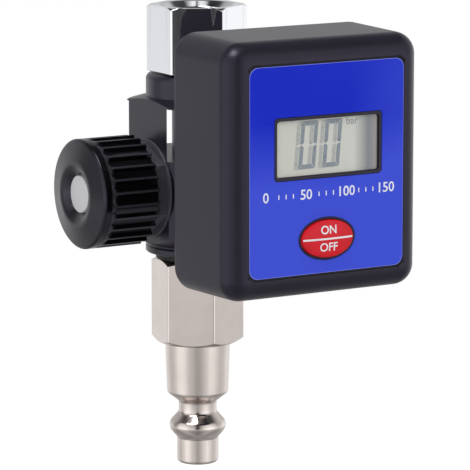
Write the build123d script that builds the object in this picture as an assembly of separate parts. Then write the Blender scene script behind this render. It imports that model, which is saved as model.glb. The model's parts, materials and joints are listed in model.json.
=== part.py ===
from build123d import *
import math
import os

# Digital air pressure regulator for a spray gun or air tool.
# All sizes are in millimetres. The port axis is Z, and the origin is the tip of the plug's nose.
# The control knob points along -X and the gauge's face looks along -Y.

# Quick-connect plug, upwards from the tip of its nose
NOSE_RADIUS = 4.1
NOSE_LENGTH = 5.2
NOSE_CHAMFER = 0.4
PLUG_BORE_RADIUS = 2.8
LATCH_RADIUS = 5.6
LATCH_LENGTH = 5.0
LATCH_RISE = 1.4
LATCH_LAND = 0.8
LATCH_CROWN = 0.27
NECK_RADIUS = 3.76
NECK_LENGTH = 2.1
PLUG_CONE_LENGTH = 1.9
BARREL_LOW_RADIUS = 5.9
BARREL_TOP_RADIUS = 6.2
BARREL_LENGTH = 10.1
PLUG_HEX_ACROSS = 15.9
PLUG_HEX_LENGTH = 16.9
INLET_THREAD_RADIUS = 6.58
INLET_THREAD_LENGTH = 7.2
PLUG_HEX_TURN = -8.9
SEAL_THICKNESS = 1.2
SEAL_WIDTH = 1.5

# Valve body, a turned spool with milled flats
FLANGE_RADIUS = 10.1
FLANGE_THICKNESS = 1.8
BODY_RADIUS = 13.7
BODY_CONE_HEIGHT = 2.1
BODY_STRAIGHT = 25.6
BODY_FLAT = 11.5
COLLAR_RADIUS = 9.95
COLLAR_HEIGHT = 3.4
COLLAR_ROUND = 1.0
WINDOW_HEIGHT = 9.7
WINDOW_RIM = 0.6
PORT_TUBE_RADIUS = 4.9
PORT_BORE_RADIUS = 2.4
SIDE_WALL_WIDTH = 15.8
SIDE_RIB_WIDTH = 3.0
SIDE_RIB_DEPTH = 3.6

# Outlet stem and swivel nut
STEM_THREAD_RADIUS = 4.3
STEM_THREAD_LENGTH = 4.6
STEM_NECK_RADIUS = 4.95
STEM_HEAD_RADIUS = 5.8
STEM_HEAD_LENGTH = 1.2
STEM_CONE_LENGTH = 2.2
STEM_TIP_RADIUS = 3.9
NUT_ACROSS = 17.0
NUT_LENGTH = 12.9
NUT_LIP = 2.4
NUT_BORE_RADIUS = 6.2
NUT_RELIEF_RADIUS = 6.6
NUT_MOUTH_RADIUS = 7.4
NUT_GAP = 0.3
NUT_EDGE_ROUND = 0.6
NUT_FACE_PROUD = 0.15
NUT_END_ANGLE = 35.0
NUT_TURN = 30.0 - 30.6

# Needle valve and knob, on an axis along X
KNOB_RISE = 9.2
BONNET_THREAD_RADIUS = 5.0
BONNET_THREAD_LENGTH = 5.0
BONNET_DISC_RADIUS = 9.3
BONNET_DISC_THICKNESS = 0.9
BONNET_HEX_ACROSS = 16.0
BONNET_HEX_LENGTH = 1.6
CHAMBER_RADIUS = 4.0
CHAMBER_LENGTH = 3.6
SEAT_RADIUS = 3.3
SEAT_THICKNESS = 1.6
SEAT_HOLE_RADIUS = 1.3
INLET_POCKET_RADIUS = 2.7
INLET_BORE_RADIUS = 2.3
CROSS_DRILL_RADIUS = 1.3
SPINDLE_RADIUS = 2.5
SPINDLE_PLAIN_RADIUS = 2.0
NEEDLE_RADIUS = 1.7
NEEDLE_TIP_RADIUS = 0.6
NEEDLE_LENGTH = 2.4
SPINDLE_SEAL_SECTION = 0.9
SPINDLE_SEAL_SETBACK = 1.1
RING_SECTION = 1.2
KNOB_RADIUS = 10.15
KNOB_LENGTH = 11.7
KNOB_GAP = 0.3
KNOB_RIM_LENGTH = 1.9
KNOB_CROWN = 0.95
KNOB_LIP_RADIUS = 6.0
KNOB_DISH_DEPTH = 0.9
KNOB_EDGE = 0.5
KNOB_WALL = 1.5
KNOB_HUB_RADIUS = 4.9
KNOB_WEBS = 6
KNOB_WEB_THICKNESS = 1.1
RIBS = 26
RIB_DEPTH = 0.75
RIB_TIP_WIDTH = 0.75
RIB_ROOT_WIDTH = 1.15
BADGE_RADIUS = 3.65
BADGE_THICKNESS = 0.5
KNOB_FACE_WALL = 2.2
INSERT_RADIUS = 3.5
INSERT_LENGTH = 5.0
SCREW_RADIUS = 1.2
SCREW_HEAD_RADIUS = 2.7
SCREW_HEAD_HEIGHT = 1.7
SCREW_LENGTH = 4.2

# Gauge, in a box that stands off the body on its own stem; depths run towards -Y
GAUGE_RISE = 18.55
GAUGE_BACK = 27.2
GAUGE_WIDTH = 42.0
GAUGE_HEIGHT = 48.2
GAUGE_DEPTH = 20.4
GAUGE_CORNER = 4.4
GAUGE_FRONT_ROUND = 3.9
GAUGE_WALL = 2.0
FRONT_WALL = 2.2
COVER_THICKNESS = 1.8
COVER_PLATE = 0.9
COVER_INSET = 0.3
COVER_SKIRT = 2.4
COVER_SKIRT_WALL = 1.2
BOSS_RADIUS = 6.0
BOSS_STAND_OFF = 1.0
BOSS_REACH = BODY_RADIUS + BOSS_STAND_OFF
GAUGE_THREAD_RADIUS = 4.0
GAUGE_THREAD_LENGTH = 6.5
GAUGE_STEM_RADIUS = 4.4
GAUGE_HEX_ACROSS = 13.0
GAUGE_HEX_LENGTH = 4.5
GAUGE_STEM_INSIDE = 3.4
GAUGE_BORE_RADIUS = 1.2
STEM_NUT_ACROSS = 14.0
STEM_NUT_THICKNESS = 2.6
SENSOR_RADIUS = 6.0
SENSOR_THICKNESS = 2.8
SENSOR_SEAL_RADIUS = 2.5
SENSOR_SEAL_SECTION = 0.9
SENSOR_PINS = 4
PIN_RADIUS = 0.32
PIN_PITCH = 2.0
PIN_RISE = 3.6
STEM_SEAL_THICKNESS = 1.0
PRY_WIDTH = 7.0
PRY_DEPTH = 0.5
PRY_SHIFT = 2.0
SIDE_NOTCH_HEIGHT = 2.6

# Face of the gauge
LABEL_SIDE_MARGIN = 4.2
LABEL_END_MARGIN = 4.5
LABEL_WIDTH = GAUGE_WIDTH - 2 * LABEL_SIDE_MARGIN
LABEL_HEIGHT = GAUGE_HEIGHT - 2 * LABEL_END_MARGIN
LABEL_CORNER = 2.5
LABEL_THICKNESS = 0.3
LABEL_GROOVE = 0.3
DISPLAY_WIDTH = 23.2
DISPLAY_HEIGHT = 11.7
DISPLAY_BORDER = 0.65
DISPLAY_CORNER = 0.7
DISPLAY_DROP = 15.55
DISPLAY_SHIFT = 0.3
GLASS_THICKNESS = 1.5
STRIP_WIDTH = 1.8
BUTTON_WIDTH = 11.2
BUTTON_HEIGHT = 7.0
BUTTON_PROUD = 0.8
BUTTON_CROWN = 0.5
BUTTON_TRAVEL = 0.5
BUTTON_RISE = 6.6
BUTTON_FLANGE = 0.8
BUTTON_RING = 0.4
SWITCH_SIZE = 6.0
SWITCH_HEIGHT = 1.4
SWITCH_TIP_RADIUS = 1.6
SWITCH_TIP_HEIGHT = 0.5
BOARD_THICKNESS = 1.6
BOARD_MARGIN = 1.0
BOARD_STAND_OFF = 4.0
BOARD_SCREW_RADIUS = 0.95
BOARD_SCREW_HEAD = 1.8
BOARD_SCREW_HEAD_HEIGHT = 1.1
BOARD_BOSS_RADIUS = 2.1
BOARD_SCREW_INSET = 3.6
CELL_RADIUS = 10.0
CELL_THICKNESS = 3.2
CELL_RISE = 11.3
CLIP_THICKNESS = 0.4
CLIP_WIDTH = 6.0

# Turned end of every hexagon, as a share of its size across the flats
HEX_END_SHARE = 0.94

# Half the size of a hexagon across its corners, as a share of its size across the flats
HEX_CORNER_SHARE = 1 / math.sqrt(3)

# Clearances
SLIP = 0.05
THREAD_SLIP = 0.04
TOUCH = 0.02

# Places along the port axis
LATCH_Z = NOSE_LENGTH
NECK_Z = LATCH_Z + LATCH_LENGTH
PLUG_CONE_Z = NECK_Z + NECK_LENGTH
BARREL_Z = PLUG_CONE_Z + PLUG_CONE_LENGTH
PLUG_HEX_Z = BARREL_Z + BARREL_LENGTH
SEAL_Z = PLUG_HEX_Z + PLUG_HEX_LENGTH
FLANGE_Z = SEAL_Z + SEAL_THICKNESS
CONE_Z = FLANGE_Z + FLANGE_THICKNESS
STRAIGHT_Z = CONE_Z + BODY_CONE_HEIGHT
STRAIGHT_TOP = STRAIGHT_Z + BODY_STRAIGHT
COLLAR_Z = STRAIGHT_TOP + BODY_CONE_HEIGHT
COLLAR_TOP = COLLAR_Z + COLLAR_HEIGHT
WINDOW_TOP = STRAIGHT_TOP - WINDOW_RIM
WINDOW_Z = WINDOW_TOP - WINDOW_HEIGHT
NUT_Z = COLLAR_TOP + NUT_GAP
NUT_TOP = NUT_Z + NUT_LENGTH
KNOB_Z = STRAIGHT_Z + KNOB_RISE
GAUGE_Z = STRAIGHT_Z + GAUGE_RISE

# Places along the knob axis
DISC_X = -BODY_FLAT
HEX_X = DISC_X - BONNET_DISC_THICKNESS
BONNET_FRONT = HEX_X - BONNET_HEX_LENGTH
KNOB_REAR = BONNET_FRONT - KNOB_GAP
KNOB_FRONT = KNOB_REAR - KNOB_LENGTH
KNOB_LIP_X = KNOB_FRONT - KNOB_CROWN
BONNET_BACK = DISC_X + BONNET_THREAD_LENGTH
CHAMBER_BACK = BONNET_BACK + CHAMBER_LENGTH
SEAT_BACK = CHAMBER_BACK + SEAT_THICKNESS
BADGE_FRONT = KNOB_LIP_X + KNOB_DISH_DEPTH
BADGE_BACK = BADGE_FRONT + BADGE_THICKNESS
SCREW_HEAD_BACK = BADGE_BACK + TOUCH + SCREW_HEAD_HEIGHT
SPINDLE_END = SCREW_HEAD_BACK + KNOB_WALL
HUB_REAR = SPINDLE_END + INSERT_LENGTH + TOUCH
SCREW_END = SCREW_HEAD_BACK + SCREW_LENGTH
SPINDLE_SEAL_X = BONNET_BACK - SPINDLE_SEAL_SETBACK

# Depths of the gauge, towards its face
GAUGE_FRONT = GAUGE_BACK + GAUGE_DEPTH
COVER_SEAT = GAUGE_BACK + COVER_PLATE
INNER_FRONT = GAUGE_FRONT - FRONT_WALL
LABEL_SEAT = GAUGE_FRONT - LABEL_THICKNESS
BOARD_FRONT = INNER_FRONT - BOARD_STAND_OFF
BOARD_BACK = BOARD_FRONT - BOARD_THICKNESS
STEM_END = GAUGE_BACK + COVER_THICKNESS + GAUGE_STEM_INSIDE
SENSOR_FRONT = STEM_END + SENSOR_THICKNESS
INNER_WIDTH = GAUGE_WIDTH - 2 * GAUGE_WALL
INNER_HEIGHT = GAUGE_HEIGHT - 2 * GAUGE_WALL
DISPLAY_Z = GAUGE_Z + LABEL_HEIGHT / 2 - DISPLAY_DROP
BUTTON_Z = GAUGE_Z - LABEL_HEIGHT / 2 + BUTTON_RISE
CELL_Z = GAUGE_Z - INNER_HEIGHT / 2 + BOARD_MARGIN + CELL_RISE
INNER_CORNER = GAUGE_CORNER - GAUGE_WALL


def turned(points):
    """Solid turned on the port axis from (radius, height) points."""
    return revolve(make_face(Plane.XZ * Polyline(*points, close=True)), Axis.Z)


def turned_knob_axis(points):
    """Solid turned on the knob axis from (x, radius) points."""
    return Pos(0, 0, KNOB_Z) * revolve(make_face(Polyline(*points, close=True)), Axis.X)


def ring(outer, inner, low, high):
    """Plain ring on the port axis."""
    return turned([(inner, low), (outer, low), (outer, high), (inner, high)])


def hexagon(across, length):
    """Hexagonal bar on Z from the origin up, with a flat facing +X."""
    return Rot(0, 0, 30) * extrude(RegularPolygon(across / 2, 6, major_radius=False), length)


def chamfered_hexagon(across, length, both_ends=True):
    """Hexagonal bar whose corners are turned down at 30 degrees."""
    corner = across * HEX_CORNER_SHARE
    face = across / 2 * HEX_END_SHARE
    drop = (corner - face) * math.tan(math.radians(30))
    foot = [(face, 0), (corner, drop)] if both_ends else [(corner, 0)]
    outline = [(0, 0)] + foot + [(corner, length - drop), (face, length), (0, length)]
    return hexagon(across, length) & turned(outline)


def on_knob_axis(solid, x):
    """Turns a solid built on Z so that it runs along -X, and puts its foot at x."""
    return Pos(x, 0, KNOB_Z) * Rot(0, -90, 0) * solid


def on_gauge_axis(solid, depth):
    """Turns a solid built on Z so that it runs along -Y, and puts its foot at that depth."""
    return Pos(0, -depth, GAUGE_Z) * Rot(90, 0, 0) * solid


def cylinder(radius, length):
    """Round bar on Z from the origin up."""
    return Cylinder(radius, length, align=(Align.CENTER, Align.CENTER, Align.MIN))


def panel(width, height, corner, near, far, z):
    """Rounded plate that faces -Y, between two depths."""
    outline = Plane.XZ.offset(near) * Pos(0, z) * RectangleRounded(width, height, corner)
    return extrude(outline, far - near)


def oval(width, height, near, far, z):
    """Elliptical plug that faces -Y, between two depths."""
    return extrude(Plane.XZ.offset(near) * Pos(0, z) * Ellipse(width / 2, height / 2), far - near)


def o_ring(mean_radius, section):
    """O-ring on Z with its middle at the origin, its round section drawn with eight flats."""
    points = []
    for index in range(8):
        angle = math.radians(22.5 + 45 * index)
        points.append((mean_radius + section / 2 * math.cos(angle), section / 2 * math.sin(angle)))
    return turned(points)


def quarter_round(centre_radius, centre_height, size):
    """Points of a rounded outer corner, from its side to its top."""
    points = []
    for step in range(4):
        angle = math.radians(30 * step)
        points.append((centre_radius + size * math.cos(angle), centre_height + size * math.sin(angle)))
    return points


def side_wall():
    """Web behind a milled flat: as wide as the flat outside, and a narrow rib inside."""
    half = SIDE_WALL_WIDTH / 2
    shoulder = math.sqrt(BODY_RADIUS ** 2 - half ** 2)
    rib_x = BODY_FLAT - SIDE_RIB_DEPTH
    rib = SIDE_RIB_WIDTH / 2
    outline = [(BODY_RADIUS, -half), (BODY_RADIUS, half), (shoulder, half), (rib_x, rib), (rib_x, -rib)]
    outline.append((shoulder, -half))
    prism = extrude(make_face(Polyline(*outline, close=True)), WINDOW_HEIGHT)
    return Pos(0, 0, WINDOW_Z) * (prism & cylinder(BODY_RADIUS, WINDOW_HEIGHT))


def valve_body():
    """Spool with two milled flats, two see-through windows, a port tube and a boss for the gauge."""
    groove = FLANGE_THICKNESS / 8
    groove_z = CONE_Z - 2 * groove
    lower = turned([
        (0, FLANGE_Z), (FLANGE_RADIUS - groove, FLANGE_Z), (FLANGE_RADIUS, FLANGE_Z + groove),
        (FLANGE_RADIUS, groove_z - groove), (FLANGE_RADIUS - groove, groove_z),
        (FLANGE_RADIUS, groove_z + groove), (FLANGE_RADIUS, CONE_Z),
        (BODY_RADIUS, STRAIGHT_Z), (BODY_RADIUS, WINDOW_Z), (0, WINDOW_Z)])
    rim = quarter_round(COLLAR_RADIUS - COLLAR_ROUND, COLLAR_TOP - COLLAR_ROUND, COLLAR_ROUND)
    upper = turned([
        (0, WINDOW_TOP), (BODY_RADIUS, WINDOW_TOP), (BODY_RADIUS, STRAIGHT_TOP),
        (COLLAR_RADIUS, COLLAR_Z), *rim, (0, COLLAR_TOP)])
    web = side_wall()
    body = lower + upper + web + Rot(0, 0, 180) * web
    body += Pos(0, 0, WINDOW_Z) * cylinder(PORT_TUBE_RADIUS, WINDOW_HEIGHT)
    flats = Box(2 * BODY_FLAT, 4 * BODY_RADIUS, 4 * COLLAR_TOP)
    body &= flats
    body += on_gauge_axis(cylinder(BOSS_RADIUS, BOSS_REACH - PORT_BORE_RADIUS), PORT_BORE_RADIUS)
    for tool in passages():
        body -= tool
    return body


def passages():
    """Tools for the body's bores: inlet, valve chamber, outlet, cross drilling and gauge port."""
    inlet = Pos(0, 0, FLANGE_Z) * cylinder(INLET_THREAD_RADIUS + THREAD_SLIP, INLET_THREAD_LENGTH)
    inlet += Pos(0, 0, FLANGE_Z) * cylinder(INLET_BORE_RADIUS, KNOB_Z - FLANGE_Z)
    pocket_end = INLET_POCKET_RADIUS
    thread = BONNET_THREAD_RADIUS + THREAD_SLIP
    thread_end = BONNET_BACK + TOUCH
    counterbore = BONNET_THREAD_RADIUS + RING_SECTION
    valve = turned_knob_axis([
        (DISC_X, 0), (DISC_X, counterbore), (DISC_X + RING_SECTION, counterbore),
        (DISC_X + RING_SECTION, thread), (thread_end, thread), (thread_end, CHAMBER_RADIUS),
        (CHAMBER_BACK, CHAMBER_RADIUS), (CHAMBER_BACK, SEAT_RADIUS), (SEAT_BACK, SEAT_RADIUS),
        (SEAT_BACK, INLET_POCKET_RADIUS), (pocket_end, INLET_POCKET_RADIUS), (pocket_end, 0)])
    stem_seat = COLLAR_TOP - STEM_THREAD_LENGTH
    outlet_low = GAUGE_Z - 2 * GAUGE_BORE_RADIUS
    stem_thread = cylinder(STEM_THREAD_RADIUS + THREAD_SLIP, 2 * STEM_THREAD_LENGTH)
    outlet = Pos(0, 0, outlet_low) * cylinder(PORT_BORE_RADIUS, COLLAR_TOP - outlet_low)
    outlet += Pos(0, 0, stem_seat - TOUCH) * stem_thread
    outlet += ring(STEM_THREAD_RADIUS + RING_SECTION, 0, COLLAR_TOP - RING_SECTION, 2 * COLLAR_TOP)
    start = Vector((BONNET_BACK + CHAMBER_BACK) / 2, 0, KNOB_Z)
    end = Vector(0, 0, GAUGE_Z + CROSS_DRILL_RADIUS)
    drill_plane = Plane(origin=start, z_dir=end - start)
    drilling = drill_plane * cylinder(CROSS_DRILL_RADIUS, (end - start).length)
    gauge = on_gauge_axis(cylinder(GAUGE_BORE_RADIUS, BOSS_REACH), 0)
    port_depth = BOSS_REACH - GAUGE_THREAD_LENGTH
    gauge += on_gauge_axis(cylinder(GAUGE_THREAD_RADIUS + THREAD_SLIP, BOSS_REACH), port_depth - TOUCH)
    return [inlet, valve, outlet, drilling, gauge]


def inlet_plug():
    """Quick-connect plug with its latching bead, hexagon and thread, bored right through."""
    shoulder = LATCH_RADIUS - LATCH_CROWN
    bead_middle = LATCH_Z + LATCH_RISE + LATCH_LAND
    thread_top = SEAL_Z + SEAL_THICKNESS + INLET_THREAD_LENGTH - 2 * TOUCH
    shank = turned([
        (PLUG_BORE_RADIUS, 0), (NOSE_RADIUS - NOSE_CHAMFER, 0), (NOSE_RADIUS, NOSE_CHAMFER),
        (NOSE_RADIUS, LATCH_Z), (shoulder, LATCH_Z + LATCH_RISE),
        (LATCH_RADIUS, bead_middle - LATCH_LAND / 3), (LATCH_RADIUS, bead_middle + LATCH_LAND / 3),
        (shoulder, bead_middle + LATCH_LAND), (NECK_RADIUS, NECK_Z), (NECK_RADIUS, PLUG_CONE_Z),
        (BARREL_LOW_RADIUS, BARREL_Z), (BARREL_TOP_RADIUS, PLUG_HEX_Z),
        (INLET_THREAD_RADIUS, PLUG_HEX_Z), (INLET_THREAD_RADIUS, thread_top),
        (PLUG_BORE_RADIUS, thread_top)])
    bar = Rot(0, 0, PLUG_HEX_TURN) * chamfered_hexagon(PLUG_HEX_ACROSS, PLUG_HEX_LENGTH)
    bore = cylinder(PLUG_BORE_RADIUS, COLLAR_TOP)
    return shank + Pos(0, 0, PLUG_HEX_Z) * bar - bore


def inlet_seal():
    """Flat rubber washer between the plug's hexagon and the valve body."""
    inner = INLET_THREAD_RADIUS + SLIP
    return ring(inner + SEAL_WIDTH, inner, SEAL_Z, FLANGE_Z)


def outlet_stem():
    """Turned stem screwed into the collar; its head traps the swivel nut and seals on a cone."""
    foot = COLLAR_TOP - STEM_THREAD_LENGTH
    neck_top = NUT_Z + NUT_LIP + NUT_GAP
    head_top = neck_top + STEM_HEAD_LENGTH
    return turned([
        (PORT_BORE_RADIUS, foot), (STEM_THREAD_RADIUS, foot), (STEM_THREAD_RADIUS, COLLAR_TOP),
        (STEM_NECK_RADIUS, COLLAR_TOP), (STEM_NECK_RADIUS, neck_top), (STEM_HEAD_RADIUS, neck_top),
        (STEM_HEAD_RADIUS, head_top), (STEM_TIP_RADIUS, head_top + STEM_CONE_LENGTH),
        (PORT_BORE_RADIUS, head_top + STEM_CONE_LENGTH)])


def outlet_seal():
    """Square-cut seal in the counterbore under the stem's neck."""
    inner = STEM_THREAD_RADIUS + SLIP
    return ring(STEM_THREAD_RADIUS + RING_SECTION - SLIP, inner, COLLAR_TOP - RING_SECTION, COLLAR_TOP)


def swivel_nut():
    """Hexagonal swivel nut: thread above, a relief groove, and a lip that runs on the stem's neck."""
    blank = hexagon(NUT_ACROSS, NUT_LENGTH)
    blank = fillet(blank.edges().filter_by(Axis.Z), NUT_EDGE_ROUND)
    corner = NUT_ACROSS * HEX_CORNER_SHARE
    face = NUT_ACROSS / 2 + NUT_FACE_PROUD
    drop = (corner - face) * math.tan(math.radians(NUT_END_ANGLE))
    blank &= turned([
        (0, 0), (face, 0), (corner, drop), (corner, NUT_LENGTH - drop),
        (face, NUT_LENGTH), (0, NUT_LENGTH)])
    blank = Pos(0, 0, NUT_Z) * Rot(0, 0, NUT_TURN) * blank
    mouth = NUT_MOUTH_RADIUS - NUT_BORE_RADIUS
    relief_top = NUT_Z + NUT_LIP + NUT_GAP + STEM_HEAD_LENGTH + STEM_CONE_LENGTH + 4 * SLIP
    bore = turned([
        (0, NUT_Z), (STEM_NECK_RADIUS + SLIP, NUT_Z), (STEM_NECK_RADIUS + SLIP, NUT_Z + NUT_LIP),
        (NUT_RELIEF_RADIUS, NUT_Z + NUT_LIP), (NUT_RELIEF_RADIUS, relief_top),
        (NUT_BORE_RADIUS, relief_top), (NUT_BORE_RADIUS, NUT_TOP - mouth),
        (NUT_MOUTH_RADIUS, NUT_TOP), (0, NUT_TOP)])
    return blank - bore


def bonnet():
    """Bonnet of the needle valve: thread, round face against the flat, and hexagon."""
    outer = turned_knob_axis([
        (BONNET_FRONT, 0), (BONNET_FRONT, BONNET_THREAD_RADIUS), (HEX_X, BONNET_THREAD_RADIUS),
        (HEX_X, BONNET_DISC_RADIUS), (DISC_X, BONNET_DISC_RADIUS), (DISC_X, BONNET_THREAD_RADIUS),
        (BONNET_BACK, BONNET_THREAD_RADIUS), (BONNET_BACK, 0)])
    blank = Rot(0, 0, 30) * chamfered_hexagon(BONNET_HEX_ACROSS, BONNET_HEX_LENGTH, both_ends=False)
    hole = on_knob_axis(cylinder(SPINDLE_RADIUS + SLIP, 4 * BONNET_THREAD_LENGTH), BONNET_BACK + 1)
    return outer + on_knob_axis(blank, HEX_X) - hole


def bonnet_o_ring():
    """Seal between the bonnet's face and the milled flat."""
    middle = BONNET_THREAD_RADIUS + RING_SECTION / 2
    return on_knob_axis(o_ring(middle, RING_SECTION - 2 * SLIP), DISC_X + RING_SECTION / 2)


def needle_spindle():
    """Spindle turned from one bar: screw-tapped plain end, thread, seal groove and needle."""
    slope = (NEEDLE_RADIUS - NEEDLE_TIP_RADIUS) / NEEDLE_LENGTH
    needle_x = CHAMBER_BACK - (NEEDLE_RADIUS - SEAT_HOLE_RADIUS + SLIP) / slope
    groove_front = SPINDLE_SEAL_X - SPINDLE_SEAL_SECTION / 2 - SLIP
    groove_back = SPINDLE_SEAL_X + SPINDLE_SEAL_SECTION / 2 + SLIP
    groove_radius = SPINDLE_RADIUS - SPINDLE_SEAL_SECTION
    plain_end = SPINDLE_END + INSERT_LENGTH
    return turned_knob_axis([
        (SPINDLE_END + SLIP, SCREW_RADIUS + SLIP), (SPINDLE_END + SLIP, SPINDLE_PLAIN_RADIUS),
        (plain_end + SLIP, SPINDLE_PLAIN_RADIUS), (plain_end + SLIP, SPINDLE_RADIUS),
        (groove_front, SPINDLE_RADIUS), (groove_front, groove_radius), (groove_back, groove_radius),
        (groove_back, SPINDLE_RADIUS), (needle_x - 2 * NEEDLE_TIP_RADIUS, SPINDLE_RADIUS),
        (needle_x - NEEDLE_TIP_RADIUS, NEEDLE_RADIUS), (needle_x, NEEDLE_RADIUS),
        (needle_x + NEEDLE_LENGTH, NEEDLE_TIP_RADIUS), (needle_x + NEEDLE_LENGTH, 0),
        (SCREW_END + SLIP, 0), (SCREW_END + SLIP, SCREW_RADIUS + SLIP)])


def spindle_o_ring():
    """O-ring in the spindle's groove, which wipes the bonnet's bore."""
    middle = SPINDLE_RADIUS - SPINDLE_SEAL_SECTION / 2
    return on_knob_axis(o_ring(middle, SPINDLE_SEAL_SECTION - 2 * TOUCH), SPINDLE_SEAL_X)


def valve_seat():
    """Plastic seat pressed into the body, closed by the needle."""
    return turned_knob_axis([
        (CHAMBER_BACK, SEAT_HOLE_RADIUS), (CHAMBER_BACK, SEAT_RADIUS - TOUCH),
        (SEAT_BACK, SEAT_RADIUS - TOUCH), (SEAT_BACK, SEAT_HOLE_RADIUS)])


def rib_section():
    """Outline of the ribbed grip: narrow ridges with wide flat valleys between them."""
    root = KNOB_RADIUS - RIB_DEPTH
    points = []
    for index in range(RIBS):
        middle = 2 * math.pi * index / RIBS
        for radius, offset in ((root, -RIB_ROOT_WIDTH), (KNOB_RADIUS, -RIB_TIP_WIDTH),
                               (KNOB_RADIUS, RIB_TIP_WIDTH), (root, RIB_ROOT_WIDTH)):
            angle = middle + offset / 2 / radius
            points.append((radius * math.cos(angle), radius * math.sin(angle)))
    return make_face(Polyline(*points, close=True))


def knob():
    """Moulded knob: ribbed skirt, smooth rim, crowned face with a dished centre, hub and webs behind."""
    root = KNOB_RADIUS - RIB_DEPTH
    rim_x = KNOB_FRONT + KNOB_RIM_LENGTH
    edge = KNOB_EDGE
    skin = turned_knob_axis([
        (KNOB_REAR, 0), (KNOB_REAR, root), (rim_x + RIB_DEPTH, root), (rim_x, KNOB_RADIUS),
        (KNOB_FRONT + edge, KNOB_RADIUS), (KNOB_FRONT, KNOB_RADIUS - edge),
        (KNOB_LIP_X, KNOB_LIP_RADIUS + edge / 2), (KNOB_LIP_X, KNOB_LIP_RADIUS - edge / 2),
        (BADGE_FRONT, BADGE_RADIUS + edge / 2), (BADGE_FRONT, 0)])
    skin += on_knob_axis(extrude(rib_section(), KNOB_REAR - rim_x - 2 * SLIP), KNOB_REAR)
    cavity_front = KNOB_FRONT + KNOB_FACE_WALL
    cavity_radius = root - KNOB_WALL
    cavity = turned_knob_axis([
        (KNOB_REAR + 1, KNOB_HUB_RADIUS), (KNOB_REAR + 1, cavity_radius), (cavity_front, cavity_radius),
        (cavity_front, KNOB_HUB_RADIUS)])
    web_length = HUB_REAR - cavity_front
    web = Box(2 * cavity_radius + KNOB_WALL, KNOB_WEB_THICKNESS, web_length,
              align=(Align.CENTER, Align.CENTER, Align.MIN))
    for index in range(KNOB_WEBS // 2):
        cavity -= on_knob_axis(Rot(0, 0, index * 360 / KNOB_WEBS) * web, HUB_REAR)
    hub = KNOB_HUB_RADIUS + TOUCH
    hole = turned_knob_axis([
        (KNOB_REAR + 1, 0), (KNOB_REAR + 1, hub), (HUB_REAR, hub), (HUB_REAR, INSERT_RADIUS),
        (SPINDLE_END, INSERT_RADIUS), (SPINDLE_END, SCREW_RADIUS + SLIP),
        (SCREW_HEAD_BACK, SCREW_RADIUS + SLIP), (SCREW_HEAD_BACK, SCREW_HEAD_RADIUS + SLIP),
        (BADGE_BACK, SCREW_HEAD_RADIUS + SLIP), (BADGE_BACK, BADGE_RADIUS),
        (KNOB_LIP_X - 1, BADGE_RADIUS), (KNOB_LIP_X - 1, 0)])
    return skin - cavity - hole


def knob_insert():
    """Brass bush moulded into the knob's hub."""
    bush = cylinder(INSERT_RADIUS - TOUCH, INSERT_LENGTH)
    bush -= cylinder(SPINDLE_PLAIN_RADIUS + SLIP, INSERT_LENGTH)
    return on_knob_axis(bush, SPINDLE_END + INSERT_LENGTH)


def knob_screw():
    """Cross-recessed screw that holds the knob on the spindle, hidden by the badge."""
    head = cylinder(SCREW_HEAD_RADIUS, SCREW_HEAD_HEIGHT)
    head = chamfer(head.edges().group_by(Axis.Z)[-1], SCREW_HEAD_HEIGHT / 4)
    slot = Box(SCREW_HEAD_RADIUS * 1.2, SCREW_HEAD_RADIUS / 4, SCREW_HEAD_HEIGHT)
    recess = Pos(0, 0, SCREW_HEAD_HEIGHT) * (slot + Rot(0, 0, 90) * slot)
    shank = Pos(0, 0, -SCREW_LENGTH) * cylinder(SCREW_RADIUS, SCREW_LENGTH)
    return on_knob_axis(head + shank - recess, SCREW_HEAD_BACK)


def knob_badge():
    """Plain metal disc set into the knob's dished centre."""
    disc = cylinder(BADGE_RADIUS - TOUCH, BADGE_THICKNESS)
    disc = chamfer(disc.edges().group_by(Axis.Z)[-1], BADGE_THICKNESS / 4)
    return on_knob_axis(disc, BADGE_BACK)


def gauge_stem():
    """Turned stem that carries the gauge: thread, shank, hexagon and sensor end."""
    root = BOSS_REACH - GAUGE_THREAD_LENGTH
    stem = on_gauge_axis(cylinder(GAUGE_THREAD_RADIUS, GAUGE_THREAD_LENGTH), root)
    shank_start = BOSS_REACH + STEM_SEAL_THICKNESS
    stem += on_gauge_axis(cylinder(GAUGE_THREAD_RADIUS, STEM_SEAL_THICKNESS), BOSS_REACH)
    stem += on_gauge_axis(cylinder(GAUGE_STEM_RADIUS, STEM_END - shank_start), shank_start)
    collar = chamfered_hexagon(GAUGE_HEX_ACROSS, GAUGE_HEX_LENGTH)
    stem += on_gauge_axis(collar, GAUGE_BACK - GAUGE_HEX_LENGTH)
    stem -= on_gauge_axis(cylinder(GAUGE_BORE_RADIUS, 2 * GAUGE_BACK), 0)
    groove = cylinder(SENSOR_SEAL_RADIUS + SENSOR_SEAL_SECTION / 2, SENSOR_SEAL_SECTION)
    return stem - on_gauge_axis(groove, STEM_END - SENSOR_SEAL_SECTION)


def gauge_stem_seal():
    """Washer between the body's boss and the stem's shoulder."""
    washer = cylinder(BOSS_RADIUS - SLIP, STEM_SEAL_THICKNESS)
    return on_gauge_axis(washer - cylinder(GAUGE_THREAD_RADIUS + SLIP, STEM_SEAL_THICKNESS), BOSS_REACH)


def stem_lock_nut():
    """Nut inside the box that clamps the cover against the stem's hexagon."""
    blank = chamfered_hexagon(STEM_NUT_ACROSS, STEM_NUT_THICKNESS)
    hole = cylinder(GAUGE_STEM_RADIUS + THREAD_SLIP, STEM_NUT_THICKNESS)
    return on_gauge_axis(blank - hole, GAUGE_BACK + COVER_THICKNESS)


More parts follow.
